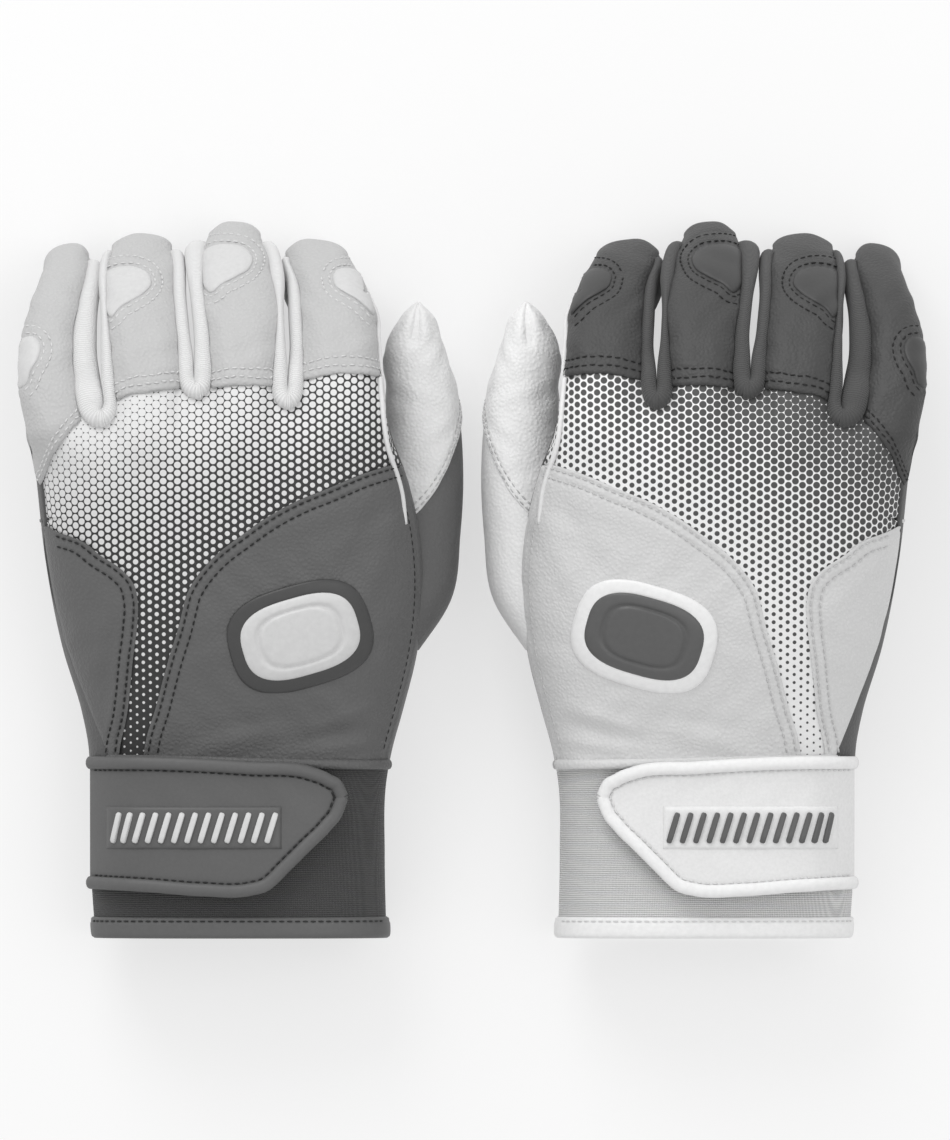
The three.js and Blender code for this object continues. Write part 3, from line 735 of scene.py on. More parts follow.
def ribbed(pitch, depth=0.00016):
    """Stretch knit with ribs across the length of the piece, each rib's trough painted darker as shade and
    its crest painted lighter.
    """

    def build(s, colour):
        _, v, _ = s.split(s.node("ShaderNodeUVMap", {"uv_map": "Surface"}))
        wave = s.maths("SINE", v * (2 * math.pi / pitch)) * 0.5 + 0.5
        height = wave * depth + s.noise(300.0) * 0.0001
        # painted shade: the colour follows the ribs' wave, darker in the troughs and lighter on the crests
        return s.mix(wave, shade(colour, 0.88), shade(colour, 1.04)), height

    return build


def knit(pitch):
    """Fine level courses with a small stagger, as on a knitted cuff, with painted shade in the grooves
    between the courses and painted light on their crests.
    """

    def build(s, colour):
        x, y, z = s.split(s.place())
        level = y + s.noise(60.0, 1.0) * 0.0006
        course = s.maths("SINE", level * (2 * math.pi / pitch)) * 0.5 + 0.5
        around = s.maths("SINE", (x + z) * (2 * math.pi / (pitch * 0.9))) * 0.5 + 0.5
        # painted shade and light: the colour follows the courses' relief, darker in the grooves and lighter
        # on the crests
        return (s.mix(course * 0.7 + around * 0.3, shade(colour, 0.62), shade(colour, 1.18)),
                course * 0.00022 + around * 0.00008)

    return build


def plain(depth, scale, crease=0.0):
    """A smooth moulded or woven finish with a fine tooth."""

    def build(s, colour):
        tooth = s.noise(scale)
        height = tooth * depth
        if crease:
            height = height + s.noise(70.0, 3.0) * crease
        return s.mix(tooth, shade(colour, 0.9), shade(colour, 1.06)), height

    return build


def fluff(s, colour):
    """The short pile of a touch fastener."""
    pile = s.noise(1600.0, 1.0)
    return s.mix(pile, shade(colour, 0.5), shade(colour, 1.2)), pile * 0.0003


MATERIALS = {}


def finish(side, slot):
    """The material of one slot of one glove, made once."""
    key = f"{side}_{slot}"
    if key in MATERIALS:
        return MATERIALS[key]
    colours = getattr(bpy.context.scene, f"glove_{side}")
    sizes = bpy.context.scene.glove_sizes
    supple = leather(sizes.grain, 0.00011, 0.00035)
    creased = leather(sizes.grain, 0.00008, 0.0008)
    moulded = plain(0.00002, 600.0)
    thread = plain(0.00005, 2500.0)
    brighter = 1.3 if side == "left" else 1.05
    builders = {
        "fingers": (colours.fingers, supple, 0.55),
        "panel": (colours.panel, leather(sizes.grain), 0.5),
        "printed": (colours.dots, halftone(colours.ground, sizes.dot_pitch), 0.6),
        "gusset": (colours.gusset, ribbed(sizes.rib), 0.75),
        "palm": (colours.palm, creased, 0.55),
        "thumb": (colours.thumb, supple, 0.55),
        "cuff": (colours.cuff, knit(sizes.knit), 0.85),
        "trim": (colours.trim, plain(0.00006, 700.0, 0.0003), 0.55),
        "strap": (colours.strap, plain(0.00004, 1100.0, 0.0003), 0.5),
        "mark": (colours.mark, moulded, 0.42),
        "frame": (colours.frame, moulded, 0.42),
        "heel": (colours.heel, creased, 0.55),
        "insert": (shade(colours.fingers, brighter), plain(0.00003, 800.0, 0.0002), 0.5),
        "piping": (colours.piping, plain(0.00004, 900.0), 0.5),
        "pad": (tone(52), fluff, 0.9),
        "finger_thread": (colours.finger_thread, thread, 0.6),
        "panel_thread": (colours.panel_thread, thread, 0.6),
        "strap_thread": (colours.strap_thread, thread, 0.6),
        "thumb_thread": (colours.thumb_thread, thread, 0.6),
    }
    colour, build, roughness = builders[slot]
    sheen = 0.15 if slot in ("cuff", "gusset", "pad") else 0.0
    MATERIALS[key] = make_material(f"{side} {slot}".replace("_", " "), colour, build, roughness, sheen)
    return MATERIALS[key]


# Pieces

# The rows of stitches that the pieces ask for: from side, thread and finger or body to lines in millimetres
STITCHES = {}


def stitch(side, thread, body, points):
    STITCHES.setdefault((side, thread, body), []).append(np.asarray(points, float))


def lip(distance, width=1.3, depth=0.55):
    """How far a cut edge's surface falls, rounded, at a distance from the edge."""
    share = np.clip(1 - distance / width, 0, 1)
    return -depth * (1 - np.sqrt(np.maximum(1 - share * share, 0)))


def dips(distance, rows, depth=0.3, width=0.55):
    """Grooves that rows of stitches pull into a surface."""
    return sum(-depth * np.exp(-((distance - row) / width) ** 2) for row in rows)


def ripple(x, y, size=0.25, wave=17.0):
    """Soft unevenness of worn leather."""
    u, v = x / wave, y / wave
    return size * np.sin(u * 6.28 + 1.7 * np.sin(v * 3.1)) * np.sin(v * 5.1 + u * 2.3)


def folds(x, y, lines):
    """Soft ridges, or valleys of a negative height, along short lines of x, y, x, y, width and height."""
    total = 0.0
    for ax, ay, bx, by, width, height in lines:
        way = np.array([bx - ax, by - ay])
        share = np.clip(((x - ax) * way[0] + (y - ay) * way[1]) / (way @ way), 0, 1)
        away = np.hypot(x - ax - share * way[0], y - ay - share * way[1])
        total = total + height * np.exp(-(away / width) ** 2) * np.sin(np.pi * (0.15 + 0.7 * share))
    return total


# Half the lengths about the finger and thumb joints from which the blend functions reckon the ends of a bend,
# though no piece is bent
FINGER_BEND, THUMB_BEND = 8, 9


def finger_blend(obj, side, name):
    """Reckons the ends of a span about the finger's knuckle, which nothing uses, and bakes the piece's
    transform into its mesh; the piece is not bent.
    """
    finger = FINGERS[name]
    centre = finger.hinge()
    way = np.array([0, math.cos(Finger.KNUCKLE), -math.sin(Finger.KNUCKLE)])
    start, end = world([centre - FINGER_BEND * way, centre + FINGER_BEND * way], side)
    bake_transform(obj)
    return obj


def thumb_blend(obj, side):
    x, z = float(thumb_x(THUMB_JOINT)), float(thumb_z(THUMB_JOINT))
    start, end = world([(x, THUMB_JOINT - THUMB_BEND, z), (x, THUMB_JOINT + THUMB_BEND, z)], side)
    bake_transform(obj)
    return obj


# Heights over the hand's surface of the print, the panels and the fingers' leather
PRINT_LIFT, PANEL_LIFT, FINGER_LIFT = -0.3, 0.6, 0.7
UNDER = 2.5  # how far the print reaches under its neighbours
THREAD_SINK = 0.05  # how deep a row of stitches lies in its leather
SLIT = spline([(52, -36.3), (70, -43.4), (86, -48.9), (100, -52.3), (110, -53.5)])


def outer_edge(y):
    """The outer panel's edge, along the slit and then along the side of the hand."""
    return SLIT(y) + (little_edge(y) + 0.5 - SLIT(y)) * smooth(66, 116, y)


def build_printed_back(side):
    """The stretch back of the hand, under the edges of its neighbours."""
    bottom, top = CUFF_TOP + 0.5, 166.0

    def place(row, column):
        level = bottom + row * (top - bottom)
        left = np.where(level < 122, outer_seam_x(level) - UNDER, np.maximum(little_edge(level) + 0.6, -58.5))
        right = np.where(level < 138.5, thumb_seam_x(level) + UNDER, 47.5 - (level - 138.5) * 0.15)
        x = left + column * (right - left)
        bend = 124 + 15 * smooth(-48, -22, x)
        limit = knuckle_y(x) + UNDER
        for slit, low in GAPS.values():
            share = np.exp(-((x - slit[0][0]) / 4.2) ** 4)
            limit = limit * (1 - share) + (low + 2) * share
        y = np.where(level < bend, level, bend + (level - bend) * (limit - bend) / (top - bend))
        return x, y

    def surface(row, column, offset):
        x, y = place(row, column)
        return back_point(x, y, PRINT_LIFT + offset)

    rows, columns = shares(90), shares(70)
    x, y = place(*np.meshgrid(rows, columns, indexing="ij"))
    middle = -10.0
    across, before = np.zeros_like(x), dome_point(middle + 0 * x, y)
    for share in shares(25)[1:]:
        now = dome_point(middle + (x - middle) * share, y)
        across += np.linalg.norm(now - before, axis=-1)
        before = now
    uv = np.stack([middle + np.sign(x - middle) * across, y * 1.02], axis=-1)
    obj = skin("printed_back", side, "printed", surface, rows, columns, 0.7, uv=uv)
    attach(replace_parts(obj, f"{side}_printed_back_panel"), f"{side}_hand")


# Puckers above the panels' hem and beside the wrist
PANEL_FOLDS = (
    (20, 58, 41, 63, 2.2, -1.0), (24, 61.5, 40, 67, 2.4, 0.9), (26, 55, 44, 58, 1.8, 0.7),
    (-8, 57, 10, 60, 3.0, 0.6), (-4, 62, 16, 65, 2.5, -0.5), (10, 71, 36, 68, 3.5, 0.5),
    (-36, 60, -33, 80, 1.8, 0.7), (-41, 78, -36, 96, 3.0, 0.5), (36, 96, 48, 120, 3.5, 0.6),
    (30, 104, 42, 126, 3.0, -0.5),
)
SEAM_ROWS = (1.3, 4.0)  # distances of the panels' stitches from their seams


def panel_lift(x, y):
    """How far the panels' leather stands off the hand, with its waves and folds."""
    return PANEL_LIFT + ripple(x, y) + folds(x, y, PANEL_FOLDS)


def build_side_panels(side):
    """The two leather panels that meet the print along curved, double-stitched seams."""
    hand = f"{side}_hand"

    def sew(run):
        lift = panel_lift(run[:, 0], run[:, 1]) - THREAD_SINK
        stitch(side, "panel_thread", hand, on_back(run, lift))

    specs = (
        ("thumb_side_panel", THUMB_SEAM, thumb_seam_x, lambda y: thumb_edge(y) - 0.15, 137.6, False),
        ("outer_side_panel", OUTER_SEAM, outer_seam_x, outer_edge, 122.0, True),
    )
    for name, seam, seam_x, far, top, outer in specs:
        bottom = CUFF_TOP - 0.4

        def surface(row, column, offset):
            y = bottom + row * (top - bottom)
            near, edge = seam_x(y), far(y)
            x = near + (edge - near) * column
            to_seam, to_edge = distance_to(seam, x, y), np.abs(edge - x)
            if offset == 0:
                lift = lip(to_seam) + dips(to_seam, SEAM_ROWS) + lip(to_edge)
                lift = lift + panel_lift(x, y) - PANEL_LIFT
                if not outer:
                    lift = lift + dips(to_edge, (1.6,))
            else:
                lift = -0.3
            return back_point(x, y, PANEL_LIFT + offset + lift)

        columns = 0.5 - 0.5 * np.cos(shares(84) * np.pi)
        obj = skin(name, side, "panel", surface, shares(96), columns, 1.0, flip=outer)
        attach(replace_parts(obj, f"{side}_{name}"), hand)
        line = resample([p for p in seam if p[1] < top + 1.5], 0.6)
        for away in SEAM_ROWS:
            run = shifted(line, away if outer else -away)
            inside = (run[:, 0] > little_edge(run[:, 1]) + 4.0) & (run[:, 0] < thumb_edge(run[:, 1]) - 1.2)
            sew(run[(run[:, 1] > bottom + 1) & (run[:, 1] < top) & inside])
    y = np.linspace(56, 134, 110)
    sew(np.stack([thumb_edge(y) - 2.6, y], axis=1))
    x = np.linspace(-37, 44.5, 90)
    level = 52.2 - 1.4 * smooth(-37, 44, x)
    path = back_point(x, level, PANEL_LIFT + 0.3)
    obj = roll("panel_hem", side, "panel", path, unit(back_point(x, level, 3) - path), 1.5, 1.1)
    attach(obj, hand)


PALM_END = 1.015  # turn of the palm's edge, under the thumb-side panel


def build_palm(side):
    """The palm leather, which wraps round both edges of the hand."""

    def surface(row, column, offset):
        y = CUFF_TOP - 0.5 + row * (PALM_FRONT - CUFF_TOP)
        start = back_turn(outer_edge(y) + 1.6, y)
        beside = 0.488 - 0.03 * smooth(112, 122, y)
        start = start + (beside - start) * smooth(88, 104, y)
        turn = PALM_END + (start - PALM_END) * column
        return hand_point(y, turn, 0.15 + offset - 1.3 * smooth(0.985, 1.0, turn))

    obj = skin("palm", side, "palm", surface, shares(60), shares(72), 1.1)
    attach(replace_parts(obj, f"{side}_palm_leather"), f"{side}_hand")


KNUCKLE_ROWS = (2.2, 4.6)  # distances of the fingers' stitches from the knuckle seam
SEAM_TURN, SEAM_FADE = 0.43, 0.07  # turn up to which the leather starts at that seam, and the turns past it


def leather_lift(at):
    """How far the finger leather stands off the finger at points seen from above."""
    return FINGER_LIFT + ripple(at[..., 0], at[..., 1], 0.3, 13.0)


# Outlines of the smooth inserts over the finger joints, in pixels of the photograph
INSERTS = {
    "index": [(332, 276), (336, 269), (346, 267), (357, 270), (366, 277), (370, 288), (373, 305), (372, 315),
              (366, 309), (356, 300), (343, 292), (335, 286)],
    "middle": [(203, 250), (214, 244), (229, 243), (244, 247), (252, 257), (249, 268), (238, 276), (223, 284),
               (211, 293), (206, 288), (204, 275), (202, 262)],
    "ring": [(106, 271), (119, 266), (135, 266), (147, 272), (151, 283), (144, 293), (134, 300), (121, 308),
             (112, 318), (108, 312), (107, 298), (105, 284)],
    "little": [(20, 342), (27, 337), (34, 336), (41, 344), (40, 357), (33, 371), (26, 387), (22, 389),
               (21, 378), (19, 362), (19, 352)],
}
INSERT_ROWS = (0.9, 3.0)  # distances of the stitches from an insert's rim


def insert_rim(name):
    """An insert's outline as evenly spaced points of x and y."""
    return resample(from_photo(INSERTS[name] + INSERTS[name][:1]), 0.9)[:-1]


def insert_dips(name, at):
    """The seat of a finger's insert and the grooves of the two rows of stitches round it."""
    rim = insert_rim(name)
    away = distance_to(np.concatenate([rim, rim[:1]]), at[..., 0], at[..., 1])
    return dips(away, (0.0,), 0.3, 0.5) + dips(away, (INSERT_ROWS[1],), 0.22, 0.5)


def build_fingers(side):
    """Each finger's leather back, stretch sides and palm-side leather."""
    for name, finger in FINGERS.items():
        low, high = finger.leather
        last = finger.end + finger.tip
        reach = np.r_[np.linspace(0, 0.82, 70), 0.82 + 0.18 * closing(16)]
        turns = low + (high - low) * (0.5 - 0.5 * np.cos(np.linspace(1, 0, 40) * np.pi))
        first = finger.seam_slope(np.minimum(turns, SEAM_TURN))
        first = first + (Finger.START - first) * np.clip((turns - SEAM_TURN) / SEAM_FADE, 0, 1)
        starts = dict(zip(np.round(turns, 6), first))

        def back(row, turn, offset):
            start = np.vectorize(lambda t: starts[round(float(t), 6)])(turn[0])[None, :]
            slope = start + (last - start) * row
            at = finger.point(slope, turn)
            past_seam = at[..., 1] - knuckle_y(at[..., 0])
            width = finger.half_width(finger.top_y(slope)) * 1.25
            to_side = np.minimum(turn - low, high - turn) * 2 * np.pi * width
            lift = leather_lift(at) + offset
            if offset == 0:
                lift = lift + lip(np.maximum(past_seam, 0), 1.6, 0.6) + lip(to_side, 1.2, 0.5)
                lift = lift + dips(past_seam, KNUCKLE_ROWS) + insert_dips(name, at)
            return finger.apron(slope, turn, lift)

        obj = skin(f"{name}_finger", side, "fingers", back, reach, turns, 1.0)
        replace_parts(obj, f"{side}_{name}_finger_back", f"{side}_{name}_fingertip")
        finger_blend(obj, side, name)

        def front(row, turn, offset):
            slope = Finger.START + (last - Finger.START) * row
            return finger.point(slope, turn, 0.2 + offset)

        around = np.linspace(0.94, 0.56, 22)
        obj = skin(f"{name}_finger_front", side, "palm", front, reach, around, 0.9)
        finger_blend(obj, side, name)

        for edge, (first, second) in {"near": (low + 0.012, -0.075), "far": (0.575, high - 0.012)}.items():
            if abs(first - second) < 0.04:
                continue

            def flank(row, share, offset):
                slope = Finger.START + (last - Finger.START) * row
                tucked = 2.2 * (1 - smooth(0.05, 0.25, row))
                return finger.point(slope, first + (second - first) * share, 0.1 + offset - tucked)

            obj = skin(f"{name}_stretch_{edge}", side, "gusset", flank, reach, shares(14), 0.9)
            finger_blend(obj, side, name)

        turns = np.linspace(low + 0.02, min(high - 0.02, SEAM_TURN), 60)
        for row in KNUCKLE_ROWS:
            slopes = finger.seam_slope(turns, row)
            lift = leather_lift(finger.point(slopes, turns)) - THREAD_SINK
            stitch(side, "finger_thread", name, finger.apron(slopes, turns, lift))


def build_inserts(side):
    """Smooth padded inserts, each set into a finger's leather inside two rows of stitches."""
    for name in INSERTS:
        finger, rim = FINGERS[name], insert_rim(name)
        middle = rim.mean(axis=0)

        def surface(row, column, offset):
            at = np.round(column * len(rim)).astype(int) % len(rim)
            flat = middle + (rim[at] - middle) * row[..., None]
            crown = 0.75 * np.sqrt(np.maximum(1 - row ** 4, 0)) - 0.15 if offset == 0 else 0
            return finger.from_top(flat[..., 0], flat[..., 1], leather_lift(flat) + crown + offset)

        columns = np.arange(len(rim)) / len(rim)
        rows = np.r_[0.04, np.linspace(0.15, 1, 12)]
        obj = skin(f"{name}_insert", side, "insert", surface, rows, columns, 0.5, wrap=True,
                   flip=clockwise(rim), caps=(0,))
        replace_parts(obj, f"{side}_{name}_knuckle_insert")
        finger_blend(obj, side, name)
        out = -1 if clockwise(rim) else 1
        ring = np.concatenate([rim, rim[:1]])
        for away in INSERT_ROWS:
            run = shifted(ring, -out * away)
            away_x = np.abs(run[:, 0] - finger.middle_x(run[:, 1]))
            inside = away_x < 0.8 * finger.half_width(run[:, 1])
            for part in np.split(run, np.nonzero(~inside)[0]):
                part = part[1:] if len(part) > 1 else part
                if len(part) > 6:
                    at = finger.from_top(part[:, 0], part[:, 1], leather_lift(part))
                    stitch(side, "finger_thread", name, at)


def clockwise(ring):
    """Whether a flat closed outline runs clockwise."""
    x, y = ring[:, 0], ring[:, 1]
    return np.sum(x * np.roll(y, -1) - np.roll(x, -1) * y) < 0


UPWARD = np.array((0.0, 0.0, 1.0))
ROLL_HEIGHT = 2.7
SLIT_OPEN = {"left": 0.3, "right": 0.5}  # how far each roll draws back from the slit beside it


def build_fourchettes(side):
    """Padded stretch rolls: each fills one side of a gap between two fingers and bends round its bottom."""
    for (near, far), (slit, bottom) in GAPS.items():
        slit_x = spline([(y, x) for x, y in slit])
        middle, low = float(slit_x(bottom)), bottom + ROLL_HEIGHT
        for name, edge, sign in ((near, 1, 1), (far, 0, -1)):
            finger = FINGERS[name]
            turn, slopes = finger.leather[edge], np.linspace(0, finger.end, 200)
            start = np.interp(low + 5, finger.point(slopes, turn)[:, 1], slopes)
            slope = np.linspace(start, finger.end * 0.97, 60)
            up = np.stack([0 * slope, np.sin(slope), np.cos(slope)], axis=-1)
            leg = finger.point(slope, turn)
            half = np.clip(np.abs(leg[:, 0] - slit_x(leg[:, 1])) / 2 + 0.1, 1.5, 4.6)
            along = shares(len(slope))
            half -= SLIT_OPEN[side] * smooth(0.05, 0.25, along) * (1 - smooth(0.45, 0.75, along))
            bury = smooth(0.88, 1.0, along)
            leg[:, 0] += sign * ((half + 1.0) * bury - half + 0.2)
            sunk = 0.45 * ROLL_HEIGHT - 0.9 * smooth(0.7, 1.3, slope) + 2.2 * bury
            leg -= up * sunk[:, None]
            start = back_point(leg[:, 0], leg[:, 1])[:, 2] - leg[:, 2]
            leg[:, 2] += np.maximum(start, 0) * (1 - smooth(low + 5, low + 13, leg[:, 1]))
            angle = np.linspace(-0.4, 1, 16)[:-1]
            x = middle + (leg[0, 0] - middle) * np.sin(angle * np.pi / 2)
            y = low - 0.4 + (leg[0, 1] - low + 0.4) * (1 - np.cos(angle * np.pi / 2))
            bend = back_point(x, y)
            rising = smooth(0, 1, angle)
            bend[:, 2] += 0.6 + smooth(0.4, 1, angle) * (leg[0, 2] - bend[-1, 2] - 0.6)
            lean = UPWARD + rising[:, None] * (up[0] - UPWARD)
            path, up = np.concatenate([bend, leg]), np.concatenate([lean, up])
            half = np.concatenate([ROLL_HEIGHT + (half[0] - ROLL_HEIGHT) * rising, half])
            fine = settled(resample(np.concatenate([path, up, half[:, None]], axis=1), 0.7))
            taper = 1 - 0.5 * smooth(len(fine) * 0.88, len(fine), np.arange(len(fine)))
            obj = roll(f"fourchette_{near}_{far}_{name}", side, "gusset", fine[:, :3], fine[:, 3:6],
                       fine[:, 6] * taper, ROLL_HEIGHT * taper, steps=18)
            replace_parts(obj, f"{side}_fourchette_{near}_{far}")
            finger_blend(obj, side, name)


THUMB_ROOT = 84
THUMB_ROWS = (1.6, 4.2)  # distances of the thumb's stitches from its seam


def build_thumb(side):
    """The thumb's palm-coloured base and its pale leather, stitched along a slant."""
    turns = np.linspace(1, 0, 96, endpoint=False)

    def base(row, turn, offset):
        y = THUMB_ROOT + (thumb_start(turn) + 3 - THUMB_ROOT) * row
        return thumb_point(y, turn, offset - 0.1)

    obj = skin("thumb_heel", side, "heel", base, shares(36), turns, 1.0, wrap=True)
    thumb_blend(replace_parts(obj, f"{side}_thumb_base"), side)

    def tip(row, turn, offset):
        start = thumb_start(turn)
        y = start + (THUMB_TIP + np.minimum(offset, 0) - start) * row
        lift = 0.6 + offset
        if offset == 0:
            past = y - start
            dart = np.exp(-(np.abs(turn - 0.25) * 38) ** 2) * smooth(171, 175, y)
            lift = lift + lip(past, 1.4) + dips(past, THUMB_ROWS) - 1.5 * dart
            lift = lift + ripple(turn * 60, y, 0.3, 12.0)
        return thumb_point(y, turn, lift)

    rows = np.r_[np.linspace(0, 0.85, 60), 0.85 + 0.15 * closing(14)]
    obj = skin("thumb_leather", side, "thumb", tip, rows, turns, 1.0, wrap=True, caps=(-1,))
    thumb_blend(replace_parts(obj, f"{side}_thumb_tip"), side)
    turn = np.linspace(-0.1, 0.45, 90)
    for past in THUMB_ROWS:
        stitch(side, "thumb_thread", "thumb", thumb_point(thumb_start(turn) + past, turn, 0.55))


SLIT_TURN, SLIT_HALF = 0.53, 0.012  # middle and half width of the cuff's slit, in turns
CUFF_START, HEM_START, HEM_HEIGHT, HEM_ROW = 5.5, 0.3, 6.2, 5.0
LINING_START = 0.8


def build_cuff(side):
    """The knitted cuff and its bound hem, open in a slit at the outer side."""
    hand = f"{side}_hand"
    turns = SLIT_TURN + SLIT_HALF + np.linspace(1, 0, 120) * (1 - 2 * SLIT_HALF)

    def band(row, turn, offset):
        y = CUFF_START + (CUFF_TOP + 0.5 - CUFF_START) * row
        return hand_point(y, turn, offset - 0.15)

    obj = skin("cuff", side, "cuff", band, shares(50), turns, 1.2)
    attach(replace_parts(obj, f"{side}_cuff_band"), hand)

    def lining(row, turn, offset):
        return hand_point(LINING_START + (CUFF_TOP - LINING_START) * row, turn, offset - 1.5)

    behind = np.linspace(0.57, 0.49, 12)
    obj = skin("cuff_lining", side, "cuff", lining, shares(20), behind, 0.6)
    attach(obj, hand)

    def hem(row, turn, offset):
        y = HEM_START + HEM_HEIGHT * row
        crown = np.sqrt(np.maximum(1 - (2 * row - 1) ** 4, 0)) - 0.4 if offset == 0 else 0.0
        return hand_point(y, turn, 0.5 + offset + crown + dips(row * HEM_HEIGHT, (HEM_ROW,), 0.25))

    obj = skin("cuff_hem", side, "trim", hem, shares(14), turns, 1.8)
    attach(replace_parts(obj, f"{side}_cuff_binding"), hand)
    stitch(side, "strap_thread", hand, hand_point(HEM_START + HEM_ROW, np.linspace(0.06, 0.46, 120), 1.0))


# The strap's edges, and the x of its root and of its nose
STRAP_TOP = spline([
    (-42, 53), (-24.6, 53), (4.4, 51.6), (21.8, 50.2), (27.6, 47.9), (31.3, 45), (32.8, 41.5),
])
STRAP_BOTTOM = spline([
    (-42, 14.8), (-24.6, 13.9), (-10, 12.8), (4.4, 12.9), (9.6, 14.4), (16, 20.3), (21.8, 26.1), (27.6, 31.9),
    (31.3, 37.1), (32.8, 41.5),
])
STRAP_ROOT, STRAP_NOSE = -42.3, 32.75
# Distances of the strap's groove, stitches and binding from its edge
STRAP_DIP, STRAP_ROW, STRAP_EDGE = 3.6, 3.9, 1.7
GRIP_X, GRIP_Y = (-37.5, 13.5), (26.3, 38.7)


def strap_lift(x):
    """The strap's height over the cuff, which it meets at its root on the outer side."""
    return 1.5 + 3.1 * smooth(STRAP_ROOT, -29, x)


def strap_edge_line():
    """The strap's free edge from its root along the bottom, round the nose and back along the top."""
    x = np.r_[np.linspace(STRAP_ROOT, 28, 60), 28 + 4.8 * closing(20)]
    low = np.stack([x, STRAP_BOTTOM(x)], axis=1)
    high = np.stack([x, STRAP_TOP(x)], axis=1)[::-1]
    return resample(np.concatenate([low, high[1:]]), 0.4)


def build_strap(side):
    """The wrist strap with its rolled edge, its ribbed moulding and its touch fastener."""
    strap = f"{side}_strap"
    line = strap_edge_line()

    def tab(row, column, offset):
        x = STRAP_ROOT + (STRAP_NOSE - STRAP_ROOT) * (0.5 - 0.5 * np.cos(column * np.pi))
        y = STRAP_BOTTOM(x) + (STRAP_TOP(x) - STRAP_BOTTOM(x)) * row
        lift = 0.0
        if offset == 0:
            edge = distance_to(line, x, y)
            lift = dips(edge, (STRAP_DIP,), 0.35, 0.5) + ripple(x, y, 0.12, 21.0)
        return back_point(x, y, strap_lift(x) + offset + lift)

    obj = skin("strap_tab", side, "strap", tab, shares(60), shares(120), 1.5)
    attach(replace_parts(obj, f"{side}_strap_tab"), strap)

    path = shifted(line, STRAP_EDGE)
    at = on_back(path, strap_lift(path[:, 0]) + 0.1)
    out = unit(on_back(path, strap_lift(path[:, 0]) + 4) - at)
    obj = roll("strap_edge", side, "trim", at, out, 1.9, 1.4, steps=14)
    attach(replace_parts(obj, f"{side}_strap_edge"), strap)
    run = shifted(line, STRAP_ROW)
    run = run[run[:, 0] > STRAP_ROOT + 1.5]
    stitch(side, "strap_thread", strap, on_back(run, strap_lift(run[:, 0])))

    def grip(row, column, offset):
        x = GRIP_X[0] + (GRIP_X[1] - GRIP_X[0]) * column
        y = GRIP_Y[0] + (GRIP_Y[1] - GRIP_Y[0]) * row
        edge = np.min([x - GRIP_X[0], GRIP_X[1] - x, y - GRIP_Y[0], GRIP_Y[1] - y], axis=0)
        lift = lip(edge, 1.6, 0.7) if offset == 0 else 0
        return back_point(x, y, strap_lift(x) + 0.75 + lift + offset)

    obj = skin("strap_grip", side, "strap", grip, shares(24), shares(70), 1.0)
    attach(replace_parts(obj, f"{side}_strap_grip"), strap)

    for node, low, body in (("hook_pad", 2.4, strap), ("loop_pad", 1.2, f"{side}_hand")):

        def pad(row, column, offset):
            x = -30 + 56 * column
            bottom, top = STRAP_BOTTOM(x) + 6, STRAP_TOP(x) - 6
            return back_point(x, bottom + (top - bottom) * row, low + offset)

        obj = skin(node, side, "pad", pad, shares(14), shares(30), 0.7)
        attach(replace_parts(obj, f"{side}_{node}"), body)


BADGE = {"x": 19.0, "y": 88.0, "length": 42.0, "width": 30.0, "lean": 0.28}


def build_badge(side):
    """A plain moulded pad on the thumb-side panel: a rounded leaning base with a smaller face on it."""
    lean_x, lean_y = math.cos(BADGE["lean"]), math.sin(BADGE["lean"])
    rows = np.r_[0.03, np.linspace(0.2, 0.55, 5), np.linspace(0.58, 1, 24)]
    specs = (("badge_base", 0.0, 0.2, 1.5, "frame"), ("badge_face", 3.6, 1.0, 2.4, "mark"))
    for node, inset, low, high, slot in specs:
        a, b = BADGE["length"] / 2 - inset, BADGE["width"] / 2 - inset

        def surface(row, column, offset):
            turn = column * 2 * np.pi
            along, across = a * power(np.cos(turn), 0.7) * row, b * power(np.sin(turn), 0.7) * row
            x = BADGE["x"] + along * lean_x - across * lean_y
            y = BADGE["y"] + along * lean_y + across * lean_x
            lift = 0
            if offset == 0:
                crown = (high - low) * np.sqrt(np.maximum(1 - row ** 8, 0))
                lift = crown - 0.7 * np.exp(-((row - 0.7) / 0.05) ** 2)
            return back_point(x, y, PANEL_LIFT + low + lift + offset)

        obj = skin(node, side, slot, surface, rows, np.arange(72) / 72, 0.8, wrap=True, caps=(0,))
        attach(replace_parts(obj, f"{side}_{node}"), f"{side}_hand")


# x and y of the lower part of the piping beside the index finger, in pixels of the photograph
PIPING = [
    (380, 378), (382, 400), (384, 422), (388, 447), (393, 463), (398, 478), (402, 494), (404, 510),
    (405, 524),
]


def build_piping(side):
    """A pale welt along the thumb side of the index finger, down to the side panel."""
    radius = bpy.context.scene.glove_sizes.piping_radius / MM
    finger = FINGERS["index"]
    slopes = np.linspace(math.radians(70), math.radians(22), 40)
    high = finger.point(slopes, 0.015, FINGER_LIFT)
    flat = resample(from_photo(PIPING), 1.0)
    low = on_back(flat, 0.4)
    low[:, :2] = flat
    path = resample(np.concatenate([high, low]), 0.9)
    out = np.tile((0.6, 0.0, 1.0), (len(path), 1))
    obj = roll("piping", side, "piping", path, out, radius, radius)
    finger_blend(obj, side, "index")


# Stitches and ribs, by geometry nodes


